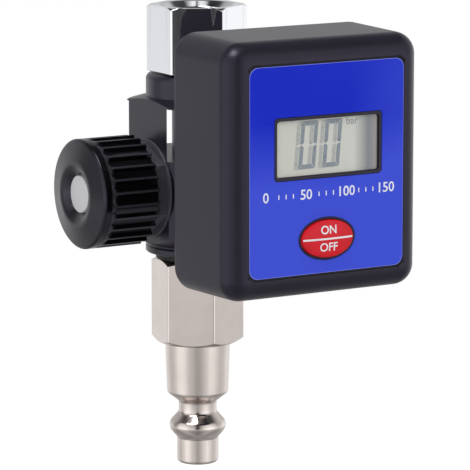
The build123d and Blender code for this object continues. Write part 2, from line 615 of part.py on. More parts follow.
def sensor_seal():
    """Square ring in the stem's end, under the sensor."""
    outer = SENSOR_SEAL_RADIUS + SENSOR_SEAL_SECTION / 2 - TOUCH
    inner = SENSOR_SEAL_RADIUS - SENSOR_SEAL_SECTION / 2
    seal = cylinder(outer, SENSOR_SEAL_SECTION) - cylinder(inner, SENSOR_SEAL_SECTION)
    return on_gauge_axis(seal, STEM_END - SENSOR_SEAL_SECTION)


def pressure_sensor():
    """Ceramic pressure cell with its raised rim, seated on the stem's end."""
    body = cylinder(SENSOR_RADIUS, SENSOR_THICKNESS)
    body = chamfer(body.edges().group_by(Axis.Z)[-1], SENSOR_THICKNESS / 6)
    return on_gauge_axis(body, STEM_END)


def sensor_pins():
    """Row of pins from the sensor to the circuit board."""
    pin = on_gauge_axis(cylinder(PIN_RADIUS, BOARD_BACK - SENSOR_FRONT), SENSOR_FRONT)
    pins = []
    for index in range(SENSOR_PINS):
        across = (index - (SENSOR_PINS - 1) / 2) * PIN_PITCH
        pins.append(Pos(across, 0, PIN_RISE) * pin)
    return Compound(children=pins)


def board_screw_places():
    """Centres of the four board screws, as (x, z)."""
    reach_x = INNER_WIDTH / 2 - BOARD_SCREW_INSET
    reach_z = INNER_HEIGHT / 2 - BOARD_SCREW_INSET
    return [(sx * reach_x, GAUGE_Z + sz * reach_z) for sx in (-1, 1) for sz in (-1, 1)]


def at_board_screws(solid, depth):
    """Copies of a solid built on Z, one on each board screw's axis, with its foot at that depth."""
    return [Pos(x, -depth, z) * Rot(90, 0, 0) * solid for x, z in board_screw_places()]


def front_housing():
    """Moulded box, open behind, with label recess, display opening, button collar and bosses."""
    shell = panel(GAUGE_WIDTH, GAUGE_HEIGHT, GAUGE_CORNER, COVER_SEAT, GAUGE_FRONT, GAUGE_Z)
    shell = fillet(shell.faces().sort_by(Axis.Y)[0].edges(), GAUGE_FRONT_ROUND)
    shell -= panel(INNER_WIDTH, INNER_HEIGHT, INNER_CORNER, COVER_SEAT, INNER_FRONT, GAUGE_Z)
    groove = 2 * LABEL_GROOVE
    shell -= panel(LABEL_WIDTH + groove, LABEL_HEIGHT + groove, LABEL_CORNER + LABEL_GROOVE, LABEL_SEAT,
                   GAUGE_FRONT + 1, GAUGE_Z)
    opening = 2 * DISPLAY_BORDER
    aperture = panel(DISPLAY_WIDTH - opening, DISPLAY_HEIGHT - opening, DISPLAY_CORNER, INNER_FRONT - 1,
                     GAUGE_FRONT, DISPLAY_Z)
    shell -= Pos(DISPLAY_SHIFT, 0, 0) * aperture
    ring = 2 * (BUTTON_RING + SLIP)
    gap = 2 * SLIP
    shell += oval(BUTTON_WIDTH + ring, BUTTON_HEIGHT + ring, LABEL_SEAT - SLIP, GAUGE_FRONT, BUTTON_Z)
    shell -= oval(BUTTON_WIDTH + gap, BUTTON_HEIGHT + gap, INNER_FRONT - 1, GAUGE_FRONT + 1, BUTTON_Z)
    boss = cylinder(BOARD_BOSS_RADIUS, BOARD_STAND_OFF)
    for solid in at_board_screws(boss, BOARD_FRONT):
        shell += solid
    pilot = cylinder(BOARD_SCREW_RADIUS + SLIP, BOARD_STAND_OFF - SLIP)
    for solid in at_board_screws(pilot, BOARD_FRONT - SLIP):
        shell -= solid
    notch = Box(GAUGE_WIDTH + 2, 2 * PRY_DEPTH, SIDE_NOTCH_HEIGHT)
    notch -= Box(GAUGE_WIDTH - 2 * PRY_DEPTH, 3 * PRY_DEPTH, 2 * SIDE_NOTCH_HEIGHT)
    return shell - Pos(0, -COVER_SEAT, GAUGE_Z) * notch


def rear_cover():
    """Snap-in back: plate with a pry slot, skirt inside the housing's walls, and the stem's hole."""
    width = GAUGE_WIDTH - 2 * COVER_INSET
    height = GAUGE_HEIGHT - 2 * COVER_INSET
    cover = panel(width, height, GAUGE_CORNER - COVER_INSET, GAUGE_BACK, COVER_SEAT, GAUGE_Z)
    cover = chamfer(cover.faces().sort_by(Axis.Y)[-1].edges(), COVER_PLATE / 3)
    fit = 2 * SLIP
    inner_seat = GAUGE_BACK + COVER_THICKNESS
    skirt_front = inner_seat + COVER_SKIRT
    inside = 2 * COVER_SKIRT_WALL + fit
    corner = INNER_CORNER - SLIP
    cover += panel(INNER_WIDTH - fit, INNER_HEIGHT - fit, corner, COVER_SEAT, skirt_front, GAUGE_Z)
    cover -= panel(INNER_WIDTH - inside, INNER_HEIGHT - inside, corner - COVER_SKIRT_WALL,
                   inner_seat, skirt_front, GAUGE_Z)
    cover -= on_gauge_axis(cylinder(GAUGE_STEM_RADIUS + SLIP, 2 * COVER_THICKNESS), GAUGE_BACK - 1)
    slot = Box(PRY_WIDTH, 2 * PRY_DEPTH, 4 * PRY_DEPTH)
    return cover - Pos(PRY_SHIFT, -GAUGE_BACK, GAUGE_Z + GAUGE_HEIGHT / 2) * slot


def face_label():
    """Printed plate in the face's recess, cut out for the display and the button."""
    plate = panel(LABEL_WIDTH, LABEL_HEIGHT, LABEL_CORNER, LABEL_SEAT, GAUGE_FRONT, GAUGE_Z)
    window = panel(DISPLAY_WIDTH, DISPLAY_HEIGHT, DISPLAY_CORNER, LABEL_SEAT, GAUGE_FRONT, DISPLAY_Z)
    ring_width = 2 * (BUTTON_RING + 2 * SLIP)
    hole = oval(BUTTON_WIDTH + ring_width, BUTTON_HEIGHT + ring_width, LABEL_SEAT, GAUGE_FRONT, BUTTON_Z)
    return plate - Pos(DISPLAY_SHIFT, 0, 0) * window - hole


def lcd_panel():
    """Glass of the liquid crystal display, behind the opening."""
    back = INNER_FRONT - GLASS_THICKNESS
    glass = panel(DISPLAY_WIDTH, DISPLAY_HEIGHT, DISPLAY_CORNER / 2, back, INNER_FRONT, DISPLAY_Z)
    return Pos(DISPLAY_SHIFT, 0, 0) * glass


def lcd_connectors():
    """Two conductive rubber strips between the glass and the circuit board."""
    reach = (DISPLAY_HEIGHT - STRIP_WIDTH) / 2
    strip_length = DISPLAY_WIDTH - 2 * STRIP_WIDTH
    glass_back = INNER_FRONT - GLASS_THICKNESS
    strips = []
    for side in (-1, 1):
        height = DISPLAY_Z + side * reach
        strip = panel(strip_length, STRIP_WIDTH, STRIP_WIDTH / 6, BOARD_FRONT, glass_back, height)
        strips.append(Pos(DISPLAY_SHIFT, 0, 0) * strip)
    return Compound(children=strips)


def power_button():
    """Oval push button with a crowned face, a flange behind the wall and a stem over the switch."""
    crown_radius = (BUTTON_WIDTH ** 2 / 4 + BUTTON_CROWN ** 2) / (2 * BUTTON_CROWN)
    top = GAUGE_FRONT + BUTTON_PROUD
    button = oval(BUTTON_WIDTH, BUTTON_HEIGHT, INNER_FRONT - BUTTON_FLANGE, top, BUTTON_Z)
    button &= Pos(0, crown_radius - top, BUTTON_Z) * Sphere(crown_radius)
    lip = 2 * BUTTON_FLANGE
    stop = INNER_FRONT - SLIP
    button += oval(BUTTON_WIDTH + lip, BUTTON_HEIGHT + lip, stop - BUTTON_FLANGE, stop, BUTTON_Z)
    foot = BOARD_FRONT + SWITCH_HEIGHT + SWITCH_TIP_HEIGHT + BUTTON_TRAVEL + SLIP
    stem = cylinder(SWITCH_TIP_RADIUS, INNER_FRONT - BUTTON_FLANGE - foot)
    return button + Pos(0, -foot, BUTTON_Z) * Rot(90, 0, 0) * stem


def tact_switch():
    """Small push switch on the circuit board, under the button."""
    case = Box(SWITCH_SIZE, SWITCH_HEIGHT, SWITCH_SIZE)
    case = Pos(0, -BOARD_FRONT - SWITCH_HEIGHT / 2, BUTTON_Z) * case
    tip = cylinder(SWITCH_TIP_RADIUS, SWITCH_TIP_HEIGHT)
    return case + Pos(0, -BOARD_FRONT - SWITCH_HEIGHT, BUTTON_Z) * Rot(90, 0, 0) * tip


def circuit_board():
    """Circuit board screwed to the housing's bosses."""
    margin = 2 * BOARD_MARGIN
    width = INNER_WIDTH - margin
    height = INNER_HEIGHT - margin
    board = panel(width, height, INNER_CORNER, BOARD_BACK, BOARD_FRONT, GAUGE_Z)
    hole = cylinder(BOARD_SCREW_RADIUS + 2 * SLIP, BOARD_THICKNESS + 2)
    for solid in at_board_screws(hole, BOARD_BACK - 1):
        board -= solid
    return board


def board_screws():
    """Four small screws that hold the circuit board."""
    screw = Pos(0, 0, -BOARD_SCREW_HEAD_HEIGHT) * cylinder(BOARD_SCREW_HEAD, BOARD_SCREW_HEAD_HEIGHT)
    screw += cylinder(BOARD_SCREW_RADIUS, BOARD_THICKNESS + BOARD_STAND_OFF * 0.7)
    return Compound(children=at_board_screws(screw, BOARD_BACK))


def battery():
    """Coin cell against the back of the circuit board."""
    cell = cylinder(CELL_RADIUS, CELL_THICKNESS)
    cell = chamfer(cell.edges().filter_by(GeomType.CIRCLE), CELL_THICKNESS / 8)
    return Pos(0, -(BOARD_BACK - CELL_THICKNESS), CELL_Z) * Rot(90, 0, 0) * cell


def battery_clip():
    """Sprung metal strap across the coin cell, with its two feet on the circuit board."""
    span = 2 * (CELL_RADIUS + SLIP)
    depth = CELL_THICKNESS + CLIP_THICKNESS
    outer = Box(span + 2 * CLIP_THICKNESS, depth, CLIP_WIDTH)
    inner = Pos(0, -CLIP_THICKNESS / 2, 0) * Box(span, CELL_THICKNESS, 2 * CLIP_WIDTH)
    feet = Pos(0, (CLIP_THICKNESS - depth) / 2, 0) * Box(span + CLIP_WIDTH, CLIP_THICKNESS, CLIP_WIDTH)
    strap = outer + feet - inner
    return Pos(0, -(BOARD_BACK - depth / 2), CELL_Z) * strap


PARTS = {
    "inlet_plug": inlet_plug,
    "inlet_seal": inlet_seal,
    "valve_body": valve_body,
    "outlet_stem": outlet_stem,
    "outlet_seal": outlet_seal,
    "swivel_nut": swivel_nut,
    "bonnet": bonnet,
    "bonnet_o_ring": bonnet_o_ring,
    "valve_seat": valve_seat,
    "needle_spindle": needle_spindle,
    "spindle_o_ring": spindle_o_ring,
    "knob": knob,
    "knob_insert": knob_insert,
    "knob_screw": knob_screw,
    "knob_badge": knob_badge,
    "gauge_stem": gauge_stem,
    "gauge_stem_seal": gauge_stem_seal,
    "stem_lock_nut": stem_lock_nut,
    "sensor_seal": sensor_seal,
    "pressure_sensor": pressure_sensor,
    "sensor_pins": sensor_pins,
    "front_housing": front_housing,
    "rear_cover": rear_cover,
    "face_label": face_label,
    "lcd_panel": lcd_panel,
    "lcd_connectors": lcd_connectors,
    "power_button": power_button,
    "tact_switch": tact_switch,
    "circuit_board": circuit_board,
    "board_screws": board_screws,
    "battery": battery,
    "battery_clip": battery_clip,
}

os.makedirs("parts", exist_ok=True)
for name, make in PARTS.items():
    export_step(make(), f"parts/{name}.step")
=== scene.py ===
"""Looks of a digital air pressure regulator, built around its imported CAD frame."""

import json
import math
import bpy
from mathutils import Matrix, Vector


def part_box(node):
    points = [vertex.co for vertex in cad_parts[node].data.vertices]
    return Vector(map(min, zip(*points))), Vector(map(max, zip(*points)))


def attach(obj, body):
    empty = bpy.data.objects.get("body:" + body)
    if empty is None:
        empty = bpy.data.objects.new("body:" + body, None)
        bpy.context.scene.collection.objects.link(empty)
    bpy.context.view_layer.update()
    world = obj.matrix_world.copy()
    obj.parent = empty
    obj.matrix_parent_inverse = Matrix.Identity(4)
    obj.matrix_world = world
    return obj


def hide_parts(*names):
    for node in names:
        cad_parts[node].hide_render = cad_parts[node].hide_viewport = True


bl_info = {
    "name": "Digital air pressure regulator",
    "version": (1, 0, 0),
    "blender": (4, 5, 0),
    "location": "3D View > Sidebar > Regulator",
    "description": "Finished pieces, materials and studio for an in-line air regulator with a boxed gauge",
    "category": "Object",
}

import bmesh
import bpy
from mathutils import Matrix, Vector

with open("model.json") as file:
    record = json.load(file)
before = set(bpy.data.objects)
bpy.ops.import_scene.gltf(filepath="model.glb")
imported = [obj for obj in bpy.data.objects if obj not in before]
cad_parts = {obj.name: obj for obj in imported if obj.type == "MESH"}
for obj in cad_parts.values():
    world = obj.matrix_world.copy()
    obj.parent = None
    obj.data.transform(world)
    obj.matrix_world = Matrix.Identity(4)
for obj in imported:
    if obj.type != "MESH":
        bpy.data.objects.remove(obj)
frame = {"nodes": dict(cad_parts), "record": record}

# Sizes in this file are in millimetres, and the meshes are in metres
MM = 0.001


def node_box(node):
    """Lowest and highest corner of a CAD node, in millimetres."""
    low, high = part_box(node)
    return low / MM, high / MM


def colour(text):
    """An sRGB hex colour as linear red, green, blue and alpha."""
    values = []
    for start in (0, 2, 4):
        share = int(text[start:start + 2], 16) / 255
        values.append(share / 12.92 if share <= 0.04045 else ((share + 0.055) / 1.055) ** 2.4)
    return (*values, 1.0)


# Where the CAD pieces are
PLUG_LOW, PLUG_HIGH = node_box("inlet_plug")
BODY_LOW, BODY_HIGH = node_box("valve_body")
STEM_LOW, STEM_HIGH = node_box("outlet_stem")
NUT_LOW, NUT_HIGH = node_box("swivel_nut")
SEAL_LOW, SEAL_HIGH = node_box("inlet_seal")
BONNET_LOW, BONNET_HIGH = node_box("bonnet")
KNOB_LOW, KNOB_HIGH = node_box("knob")
BADGE_LOW, BADGE_HIGH = node_box("knob_badge")
HOUSING_LOW, HOUSING_HIGH = node_box("front_housing")
COVER_LOW, COVER_HIGH = node_box("rear_cover")
LABEL_LOW, LABEL_HIGH = node_box("face_label")
GLASS_LOW, GLASS_HIGH = node_box("lcd_panel")
BUTTON_LOW, BUTTON_HIGH = node_box("power_button")
KNOB_Z = (KNOB_LOW.z + KNOB_HIGH.z) / 2
GAUGE_Z = (HOUSING_LOW.z + HOUSING_HIGH.z) / 2
BUTTON_Z = (BUTTON_LOW.z + BUTTON_HIGH.z) / 2
DISPLAY_X = (GLASS_LOW.x + GLASS_HIGH.x) / 2
DISPLAY_Z = (GLASS_LOW.z + GLASS_HIGH.z) / 2
GAUGE_FRONT = -HOUSING_LOW.y
COVER_SEAT = -HOUSING_HIGH.y
LABEL_SEAT = -LABEL_HIGH.y
LABEL_FRONT = -LABEL_LOW.y
GLASS_FRONT = -GLASS_LOW.y
BUTTON_TOP = -BUTTON_LOW.y

# Gap round the label in its recess, and how much smaller the label is than its CAD plate on each side
GROOVE = 0.5
LABEL_TRIM = 0.25
# Front of the display's polariser, just below the housing's rim
CELL_FRONT = GAUGE_FRONT - 0.5


class RegulatorSizes(bpy.types.PropertyGroup):
    """Sizes, in millimetres, that give the pieces their finish."""

    edge_break: bpy.props.FloatProperty(
        name="Edge break", description="Rounding of the machined edges", default=0.18, min=0.02, max=0.6)
    hexagon_corner: bpy.props.FloatProperty(
        name="Hexagon corner", description="Radius of the plug's long corners", default=0.5, min=0.05, max=1.0)
    nut_corner: bpy.props.FloatProperty(
        name="Nut corner", description="Radius of the swivel nut's corners", default=0.6, min=0.05, max=1.5)
    thread_pitch: bpy.props.FloatProperty(
        name="Thread pitch", description="Pitch of the pipe thread in the nut", default=1.337, min=0.5, max=3.0)
    ribs: bpy.props.IntProperty(
        name="Ribs", description="Number of ribs round the knob", default=26, min=8, max=60)
    rib_depth: bpy.props.FloatProperty(
        name="Rib depth", description="Height of a rib above its valley", default=0.9, min=0.2, max=2.0)
    rib_tip: bpy.props.FloatProperty(
        name="Rib tip", description="Width of a rib at its top", default=0.42, min=0.1, max=2.0)
    rib_root: bpy.props.FloatProperty(
        name="Rib root", description="Width of a rib at its root", default=0.95, min=0.2, max=2.4)
    front_round: bpy.props.FloatProperty(
        name="Front rounding", description="Radius round the face of the box", default=3.9, min=0.5, max=6.0)
    draft: bpy.props.FloatProperty(
        name="Draft", description="Taper of the moulded box towards its face", default=math.radians(1.15),
        subtype="ANGLE", unit="ROTATION")
    box_corner: bpy.props.FloatProperty(
        name="Box corner", description="Corner radius of the box", default=4.4, min=1.0, max=10.0)
    label_corner: bpy.props.FloatProperty(
        name="Label corner", description="Corner radius of the label", default=1.8, min=0.5, max=6.0)
    digit_height: bpy.props.FloatProperty(
        name="Digit height", description="Height of a figure on the display", default=8.8, min=3.0, max=12.0)
    digit_slant: bpy.props.FloatProperty(
        name="Digit slant", description="Lean of the display's figures", default=math.radians(4.9),
        subtype="ANGLE", unit="ROTATION")


class RegulatorColours(bpy.types.PropertyGroup):
    """Colours of the main finishes."""

    # The label's two blues are the ends of a painted reflection that lightens it downwards
    label_top: bpy.props.FloatVectorProperty(
        name="Label, top", description="Blue at the label's upper edge", subtype="COLOR", size=4,
        min=0, max=1, default=colour("142CCB"))
    # The lower blue is lighter as a painted reflection
    label_foot_painted_sheen: bpy.props.FloatVectorProperty(
        name="Label, foot", description="Blue at the label's lower edge", subtype="COLOR", size=4,
        min=0, max=1, default=colour("4356E2"))
    button: bpy.props.FloatVectorProperty(
        name="Button", description="Red of the push button", subtype="COLOR", size=4,
        min=0, max=1, default=colour("DC1024"))
    housing: bpy.props.FloatVectorProperty(
        name="Housing", description="Moulded box of the gauge", subtype="COLOR", size=4,
        min=0, max=1, default=colour("201D27"))
    knob: bpy.props.FloatVectorProperty(
        name="Knob", description="Moulded knob", subtype="COLOR", size=4,
        min=0, max=1, default=colour("0B0B0D"))
    anodised: bpy.props.FloatVectorProperty(
        name="Valve body", description="Black anodised aluminium", subtype="COLOR", size=4,
        min=0, max=1, default=colour("201D26"))
    nickel: bpy.props.FloatVectorProperty(
        name="Plug", description="Satin nickel plate", subtype="COLOR", size=4,
        min=0, max=1, default=colour("D5CBC6"))


def sizes():
    """The scene's sizes."""
    return bpy.context.scene.regulator_sizes


def colours():
    """The scene's colours."""
    return bpy.context.scene.regulator_colours


# Outlines and meshes


def softened(corners, closed=False, steps=4):
    """Outline from (across, along, cut) corners, each cut back by that much and rounded off."""
    outline = []
    count = len(corners)
    for index, (across, along, cut) in enumerate(corners):
        ends = not closed and index in (0, count - 1)
        if ends or cut <= 0:
            outline.append((across, along))
            continue
        corner = Vector((across, along))
        before = Vector(corners[index - 1][:2]) - corner
        after = Vector(corners[(index + 1) % count][:2]) - corner
        near = min(cut, 0.45 * before.length, 0.45 * after.length)
        first = corner + before.normalized() * near
        last = corner + after.normalized() * near
        for step in range(steps + 1):
            share = step / steps
            point = first * (1 - share) ** 2 + corner * 2 * share * (1 - share) + last * share ** 2
            outline.append((point.x, point.y))
    return outline


def bridged(loops, count, round_again, loop_closed):
    """Faces that join each loop to the next."""
    faces = []
    for index in range(len(loops) if round_again else len(loops) - 1):
        here = index * count
        there = (index + 1) % len(loops) * count
        for step in range(count if loop_closed else count - 1):
            ahead = (step + 1) % count
            faces.append((here + step, here + ahead, there + ahead, there + step))
    return faces


def new_mesh(name, points, faces, place=None, sharp=35.0):
    """Mesh from points in millimetres: merged, closed, pointing outwards and smooth up to an angle."""
    work = bmesh.new()
    for point in points:
        moved = place @ Vector(point) if place else Vector(point)
        work.verts.new(moved * MM)
    work.verts.ensure_lookup_table()
    for face in faces:
        corners = []
        for index in face:
            if work.verts[index] not in corners:
                corners.append(work.verts[index])
        if len(corners) > 2:
            work.faces.new(corners)
    bmesh.ops.remove_doubles(work, verts=work.verts, dist=1e-6)
    bmesh.ops.dissolve_degenerate(work, edges=work.edges, dist=1e-7)
    bmesh.ops.recalc_face_normals(work, faces=work.faces)
    mesh = bpy.data.meshes.new(name)
    work.to_mesh(mesh)
    work.free()
    finish_shading(mesh, sharp)
    return mesh


def finish_shading(mesh, sharp=35.0):
    """Smooth shading, broken where faces meet at more than an angle in degrees."""
    mesh.shade_smooth()
    mesh.set_sharp_from_angle(angle=math.radians(sharp))


def column_mesh(name, columns, place=None, closed=False, sharp=35.0, whole=True):
    """Mesh from (angle, outline) columns round Z; closed outlines make a ring, open ones end on the axis."""
    points = []
    for angle, outline in columns:
        for across, along in outline:
            points.append((across * math.cos(angle), across * math.sin(angle), along))
    faces = bridged(columns, len(columns[0][1]), whole, closed)
    return new_mesh(name, points, faces, place, sharp)


def turned_mesh(name, corners, place=None, closed=False, steps=96, sharp=35.0):
    """Turned solid from (radius, height, cut) corners."""
    outline = softened(corners, closed)
    columns = [(2 * math.pi * index / steps, outline) for index in range(steps)]
    return column_mesh(name, columns, place, closed, sharp)


def piece(name, mesh, body, slot, material, *replaced):
    """Object for a finished mesh, riding on a body and standing for CAD nodes."""
    mesh = area_weighted(mesh)
    mesh.materials.clear()
    mesh.materials.append(material)
    made = bpy.data.objects.new(name, mesh)
    bpy.context.scene.collection.objects.link(made)
    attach(made, body)
    if replaced:
        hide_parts(*replaced)
    return made


def joined(name, meshes):
    """One mesh from several."""
    work = bmesh.new()
    for mesh in meshes:
        work.from_mesh(mesh)
    whole = bpy.data.meshes.new(name)
    work.to_mesh(whole)
    work.free()
    for mesh in meshes:
        bpy.data.meshes.remove(mesh)
    return whole


def evaluated(name, mesh, add_modifiers):
    """Mesh after modifiers that a function adds to a passing object."""
    passing = bpy.data.objects.new(name, mesh)
    bpy.context.scene.collection.objects.link(passing)
    add_modifiers(passing)
    bpy.context.view_layer.update()
    graph = bpy.context.evaluated_depsgraph_get()
    result = bpy.data.meshes.new_from_object(passing.evaluated_get(graph))
    bpy.data.objects.remove(passing)
    bpy.data.meshes.remove(mesh)
    result.name = name
    return result


def area_weighted(mesh):
    """Mesh whose large faces keep their own normals, so that only its roundings shade from one to the next."""
    def add(passing):
        modifier = passing.modifiers.new("Flat faces", "WEIGHTED_NORMAL")
        modifier.mode = "FACE_AREA"
        modifier.weight = 80
        modifier.keep_sharp = True
    return evaluated(mesh.name, mesh, add)


def bevelled(mesh, width, segments=2, angle=32.0):
    """Mesh with its sharp edges rounded."""
    def add(passing):
        modifier = passing.modifiers.new("Edge break", "BEVEL")
        modifier.width = width * MM
        modifier.segments = segments
        modifier.limit_method = "ANGLE"
        modifier.angle_limit = math.radians(angle)
        modifier.harden_normals = True
    return evaluated(mesh.name + "_bevelled", mesh, add)


def united(name, meshes, operation="UNION"):
    """First mesh joined with, or cut by, the others."""
    tools = []
    for tool in meshes[1:]:
        holder = bpy.data.objects.new(name + "_tool", tool)
        bpy.context.scene.collection.objects.link(holder)
        tools.append(holder)

    def add(passing):
        for holder in tools:
            modifier = passing.modifiers.new("Join", "BOOLEAN")
            modifier.operation = operation
            modifier.solver = "EXACT"
            modifier.object = holder
    result = evaluated(name, meshes[0], add)
    for holder in tools:
        tool = holder.data
        bpy.data.objects.remove(holder)
        bpy.data.meshes.remove(tool)
    work = bmesh.new()
    work.from_mesh(result)
    bmesh.ops.remove_doubles(work, verts=work.verts, dist=2e-6)
    bmesh.ops.dissolve_limit(work, angle_limit=math.radians(0.6), verts=work.verts, edges=work.edges)
    bmesh.ops.recalc_face_normals(work, faces=work.faces)
    work.to_mesh(result)
    work.free()
    finish_shading(result)
    return result


def hexagon_radius(angle, across, corner):
    """Radius of a hexagon with rounded corners, a flat facing the angle 0."""
    turn = math.radians(60)
    from_flat = (angle + turn / 2) % turn - turn / 2
    inner = across / 2 - corner
    tangent = math.atan2(inner * math.tan(turn / 2), across / 2)
    if abs(from_flat) <= tangent:
        return across / 2 / math.cos(from_flat)
    reach = inner / math.cos(turn / 2)
    from_corner = turn / 2 - abs(from_flat)
    return reach * math.cos(from_corner) + math.sqrt(corner ** 2 - (reach * math.sin(from_corner)) ** 2)


def hexagon_angles(across, corner, on_flat=14, on_corner=6):
    """Angles that catch a rounded hexagon's flats and corners."""
    turn = math.radians(60)
    tangent = math.atan2((across / 2 - corner) * math.tan(turn / 2), across / 2)
    angles = []
    for side in range(6):
        for step in range(on_flat):
            angles.append(side * turn - tangent + 2 * tangent * step / on_flat)
        for step in range(on_corner):
            angles.append(side * turn + tangent + (turn - 2 * tangent) * step / on_corner)
    return angles


def rounded_rectangle(width, height, corner, across=10, bend=8):
    """Points (x, z) of a rounded rectangle about the origin, the same count for every size."""
    points = []
    half_width = width / 2 - corner
    half_height = height / 2 - corner
    centres = ((1, 1), (-1, 1), (-1, -1), (1, -1))
    for quarter, (side_x, side_z) in enumerate(centres):
        start = math.radians(90 * quarter)
        for step in range(bend + 1):
            angle = start + math.radians(90) * step / bend
            points.append((side_x * half_width + corner * math.cos(angle),
                           side_z * half_height + corner * math.sin(angle)))
        last = Vector(points[-1])
        next_x, next_z = centres[(quarter + 1) % 4]
        next_angle = math.radians(90 * (quarter + 1))
        following = Vector((next_x * half_width + corner * math.cos(next_angle),
                            next_z * half_height + corner * math.sin(next_angle)))
        for step in range(1, across):
            point = last.lerp(following, step / across)
            points.append((point.x, point.y))
    return points


def oval(width, height, steps=72):
    """Points (x, z) of an ellipse about the origin."""
    turn = [2 * math.pi * step / steps for step in range(steps)]
    return [(width / 2 * math.cos(angle), height / 2 * math.sin(angle)) for angle in turn]


def facing_mesh(name, loops, centre_z, centre_x=0.0, capped=(True, True), ring=False, sharp=35.0):
    """Mesh from (depth, outline) loops that face -Y, with flat caps or closed on itself."""
    count = len(loops[0][1])
    points = []
    for depth, outline in loops:
        for x, z in outline:
            points.append((centre_x + x, -depth, centre_z + z))
    faces = bridged(loops, count, ring, True)
    if not ring:
        if capped[0]:
            faces.append(tuple(range(count)))
        if capped[1]:
            faces.append(tuple(range(len(points) - count, len(points))))
    return new_mesh(name, points, faces, None, sharp)


def plate_mesh(name, outlines, back, front, edge=0.0, steps=2):
    """Plate facing -Y between two depths, filled between its first outline and its holes."""
    curve = bpy.data.curves.new(name, "CURVE")
    curve.dimensions = "2D"
    curve.fill_mode = "BOTH"
    for outline in outlines:
        spline = curve.splines.new("POLY")
        spline.points.add(len(outline) - 1)
        for point, (x, z) in zip(spline.points, outline):
            point.co = (x * MM, z * MM, 0, 1)
        spline.use_cyclic_u = True
    thickness = front - back
    curve.extrude = (thickness / 2 - edge) * MM
    if edge:
        curve.bevel_depth = edge * MM
        curve.bevel_resolution = steps
        curve.offset = -edge * MM
    return flat_to_mesh(name, curve, (back + front) / 2)


def flat_to_mesh(name, curve, depth, centre_x=0.0, centre_z=0.0):
    """Mesh of a flat curve or text, stood up to face -Y at a depth."""
    passing = bpy.data.objects.new(name, curve)
    bpy.context.scene.collection.objects.link(passing)
    bpy.context.view_layer.update()
    graph = bpy.context.evaluated_depsgraph_get()
    mesh = bpy.data.meshes.new_from_object(passing.evaluated_get(graph))
    bpy.data.objects.remove(passing)
    stand = Matrix.Translation(Vector((centre_x, -depth, centre_z)) * MM) @ Matrix.Rotation(math.pi / 2, 4, "X")
    mesh.transform(stand)
    work = bmesh.new()
    work.from_mesh(mesh)
    bmesh.ops.remove_doubles(work, verts=work.verts, dist=1e-7)
    bmesh.ops.recalc_face_normals(work, faces=work.faces)
    work.to_mesh(mesh)
    work.free()
    finish_shading(mesh)
    return mesh


def words_mesh(words, height, depth, thickness, x, z, bold=0.0):
    """Raised print that faces -Y, centred on x and z, in Blender's own plain font."""
    text = bpy.data.curves.new("words", "FONT")
    text.body = words
    text.size = height / 0.73 * MM
    text.align_x = "CENTER"
    text.align_y = "CENTER"
    text.extrude = thickness / 2 * MM
    text.offset = bold * MM
    text.resolution_u = 4
    return flat_to_mesh("words", text, depth, x, z)


ON_KNOB_AXIS = Matrix.Translation((0, 0, KNOB_Z)) @ Matrix.Rotation(-math.pi / 2, 4, "Y")
ON_GAUGE_AXIS = Matrix.Translation((0, 0, GAUGE_Z)) @ Matrix.Rotation(math.pi / 2, 4, "X")


# Materials


def add_node(tree, kind, inputs=None, **settings):
    """A node with its settings, and its inputs set to values or linked to sockets."""
    node = tree.nodes.new(kind)
    for key, value in settings.items():
        setattr(node, key, value)
    for key, value in (inputs or {}).items():
        if isinstance(value, bpy.types.NodeSocket):
            tree.links.new(value, node.inputs[key])
        else:
            node.inputs[key].default_value = value
    return node


# Slight violet of the black finishes' gloss
COOL_GLOSS = colour("E8E3FF")


def start_material(name, **shader_inputs):
    """A material's tree, its shader and its Object coordinates."""
    made = bpy.data.materials.new(name)
    made.use_nodes = True
    tree = made.node_tree
    tree.nodes.clear()
    inputs = {key.replace("_", " "): value for key, value in shader_inputs.items()}
    shader = add_node(tree, "ShaderNodeBsdfPrincipled", inputs)
    add_node(tree, "ShaderNodeOutputMaterial", {"Surface": shader.outputs["BSDF"]})
    place = add_node(tree, "ShaderNodeTexCoord").outputs["Object"]
    return made, tree, shader, place


def satin_nickel_plate():
    """Nickel over turned steel: warm, soft-edged reflections broken by fine lines round the axis."""
    made, tree, shader, place = start_material("satin_nickel_plate", Metallic=1.0)
    # Turning marks are 0.05 mm apart on the real plug, drawn at 0.15 mm so that they show
    lines = add_node(tree, "ShaderNodeMapping", {"Vector": place, "Scale": (60, 60, 6600)})
    marks = add_node(tree, "ShaderNodeTexNoise", {"Vector": lines.outputs["Vector"], "Scale": 1.0, "Detail": 3.0})
    bloom = add_node(tree, "ShaderNodeTexNoise", {"Vector": place, "Scale": 260.0, "Detail": 4.0})
    tint = add_node(tree, "ShaderNodeMapRange", {
        "Value": bloom.outputs["Fac"], "From Min": 0.3, "From Max": 0.7, "To Min": 0.96, "To Max": 1.03})
    base = colours().nickel
    shade = add_node(tree, "ShaderNodeVectorMath", {0: base[:3], "Scale": tint.outputs["Result"]}, operation="SCALE")
    tree.links.new(shade.outputs["Vector"], shader.inputs["Base Color"])
    rough = add_node(tree, "ShaderNodeMapRange", {
        "Value": marks.outputs["Fac"], "From Min": 0.25, "From Max": 0.75, "To Min": 0.14, "To Max": 0.2})
    tree.links.new(rough.outputs["Result"], shader.inputs["Roughness"])
    bump = add_node(tree, "ShaderNodeBump", {
        "Height": marks.outputs["Fac"], "Strength": 0.035, "Distance": 0.00002})
    tree.links.new(bump.outputs["Normal"], shader.inputs["Normal"])
    return made


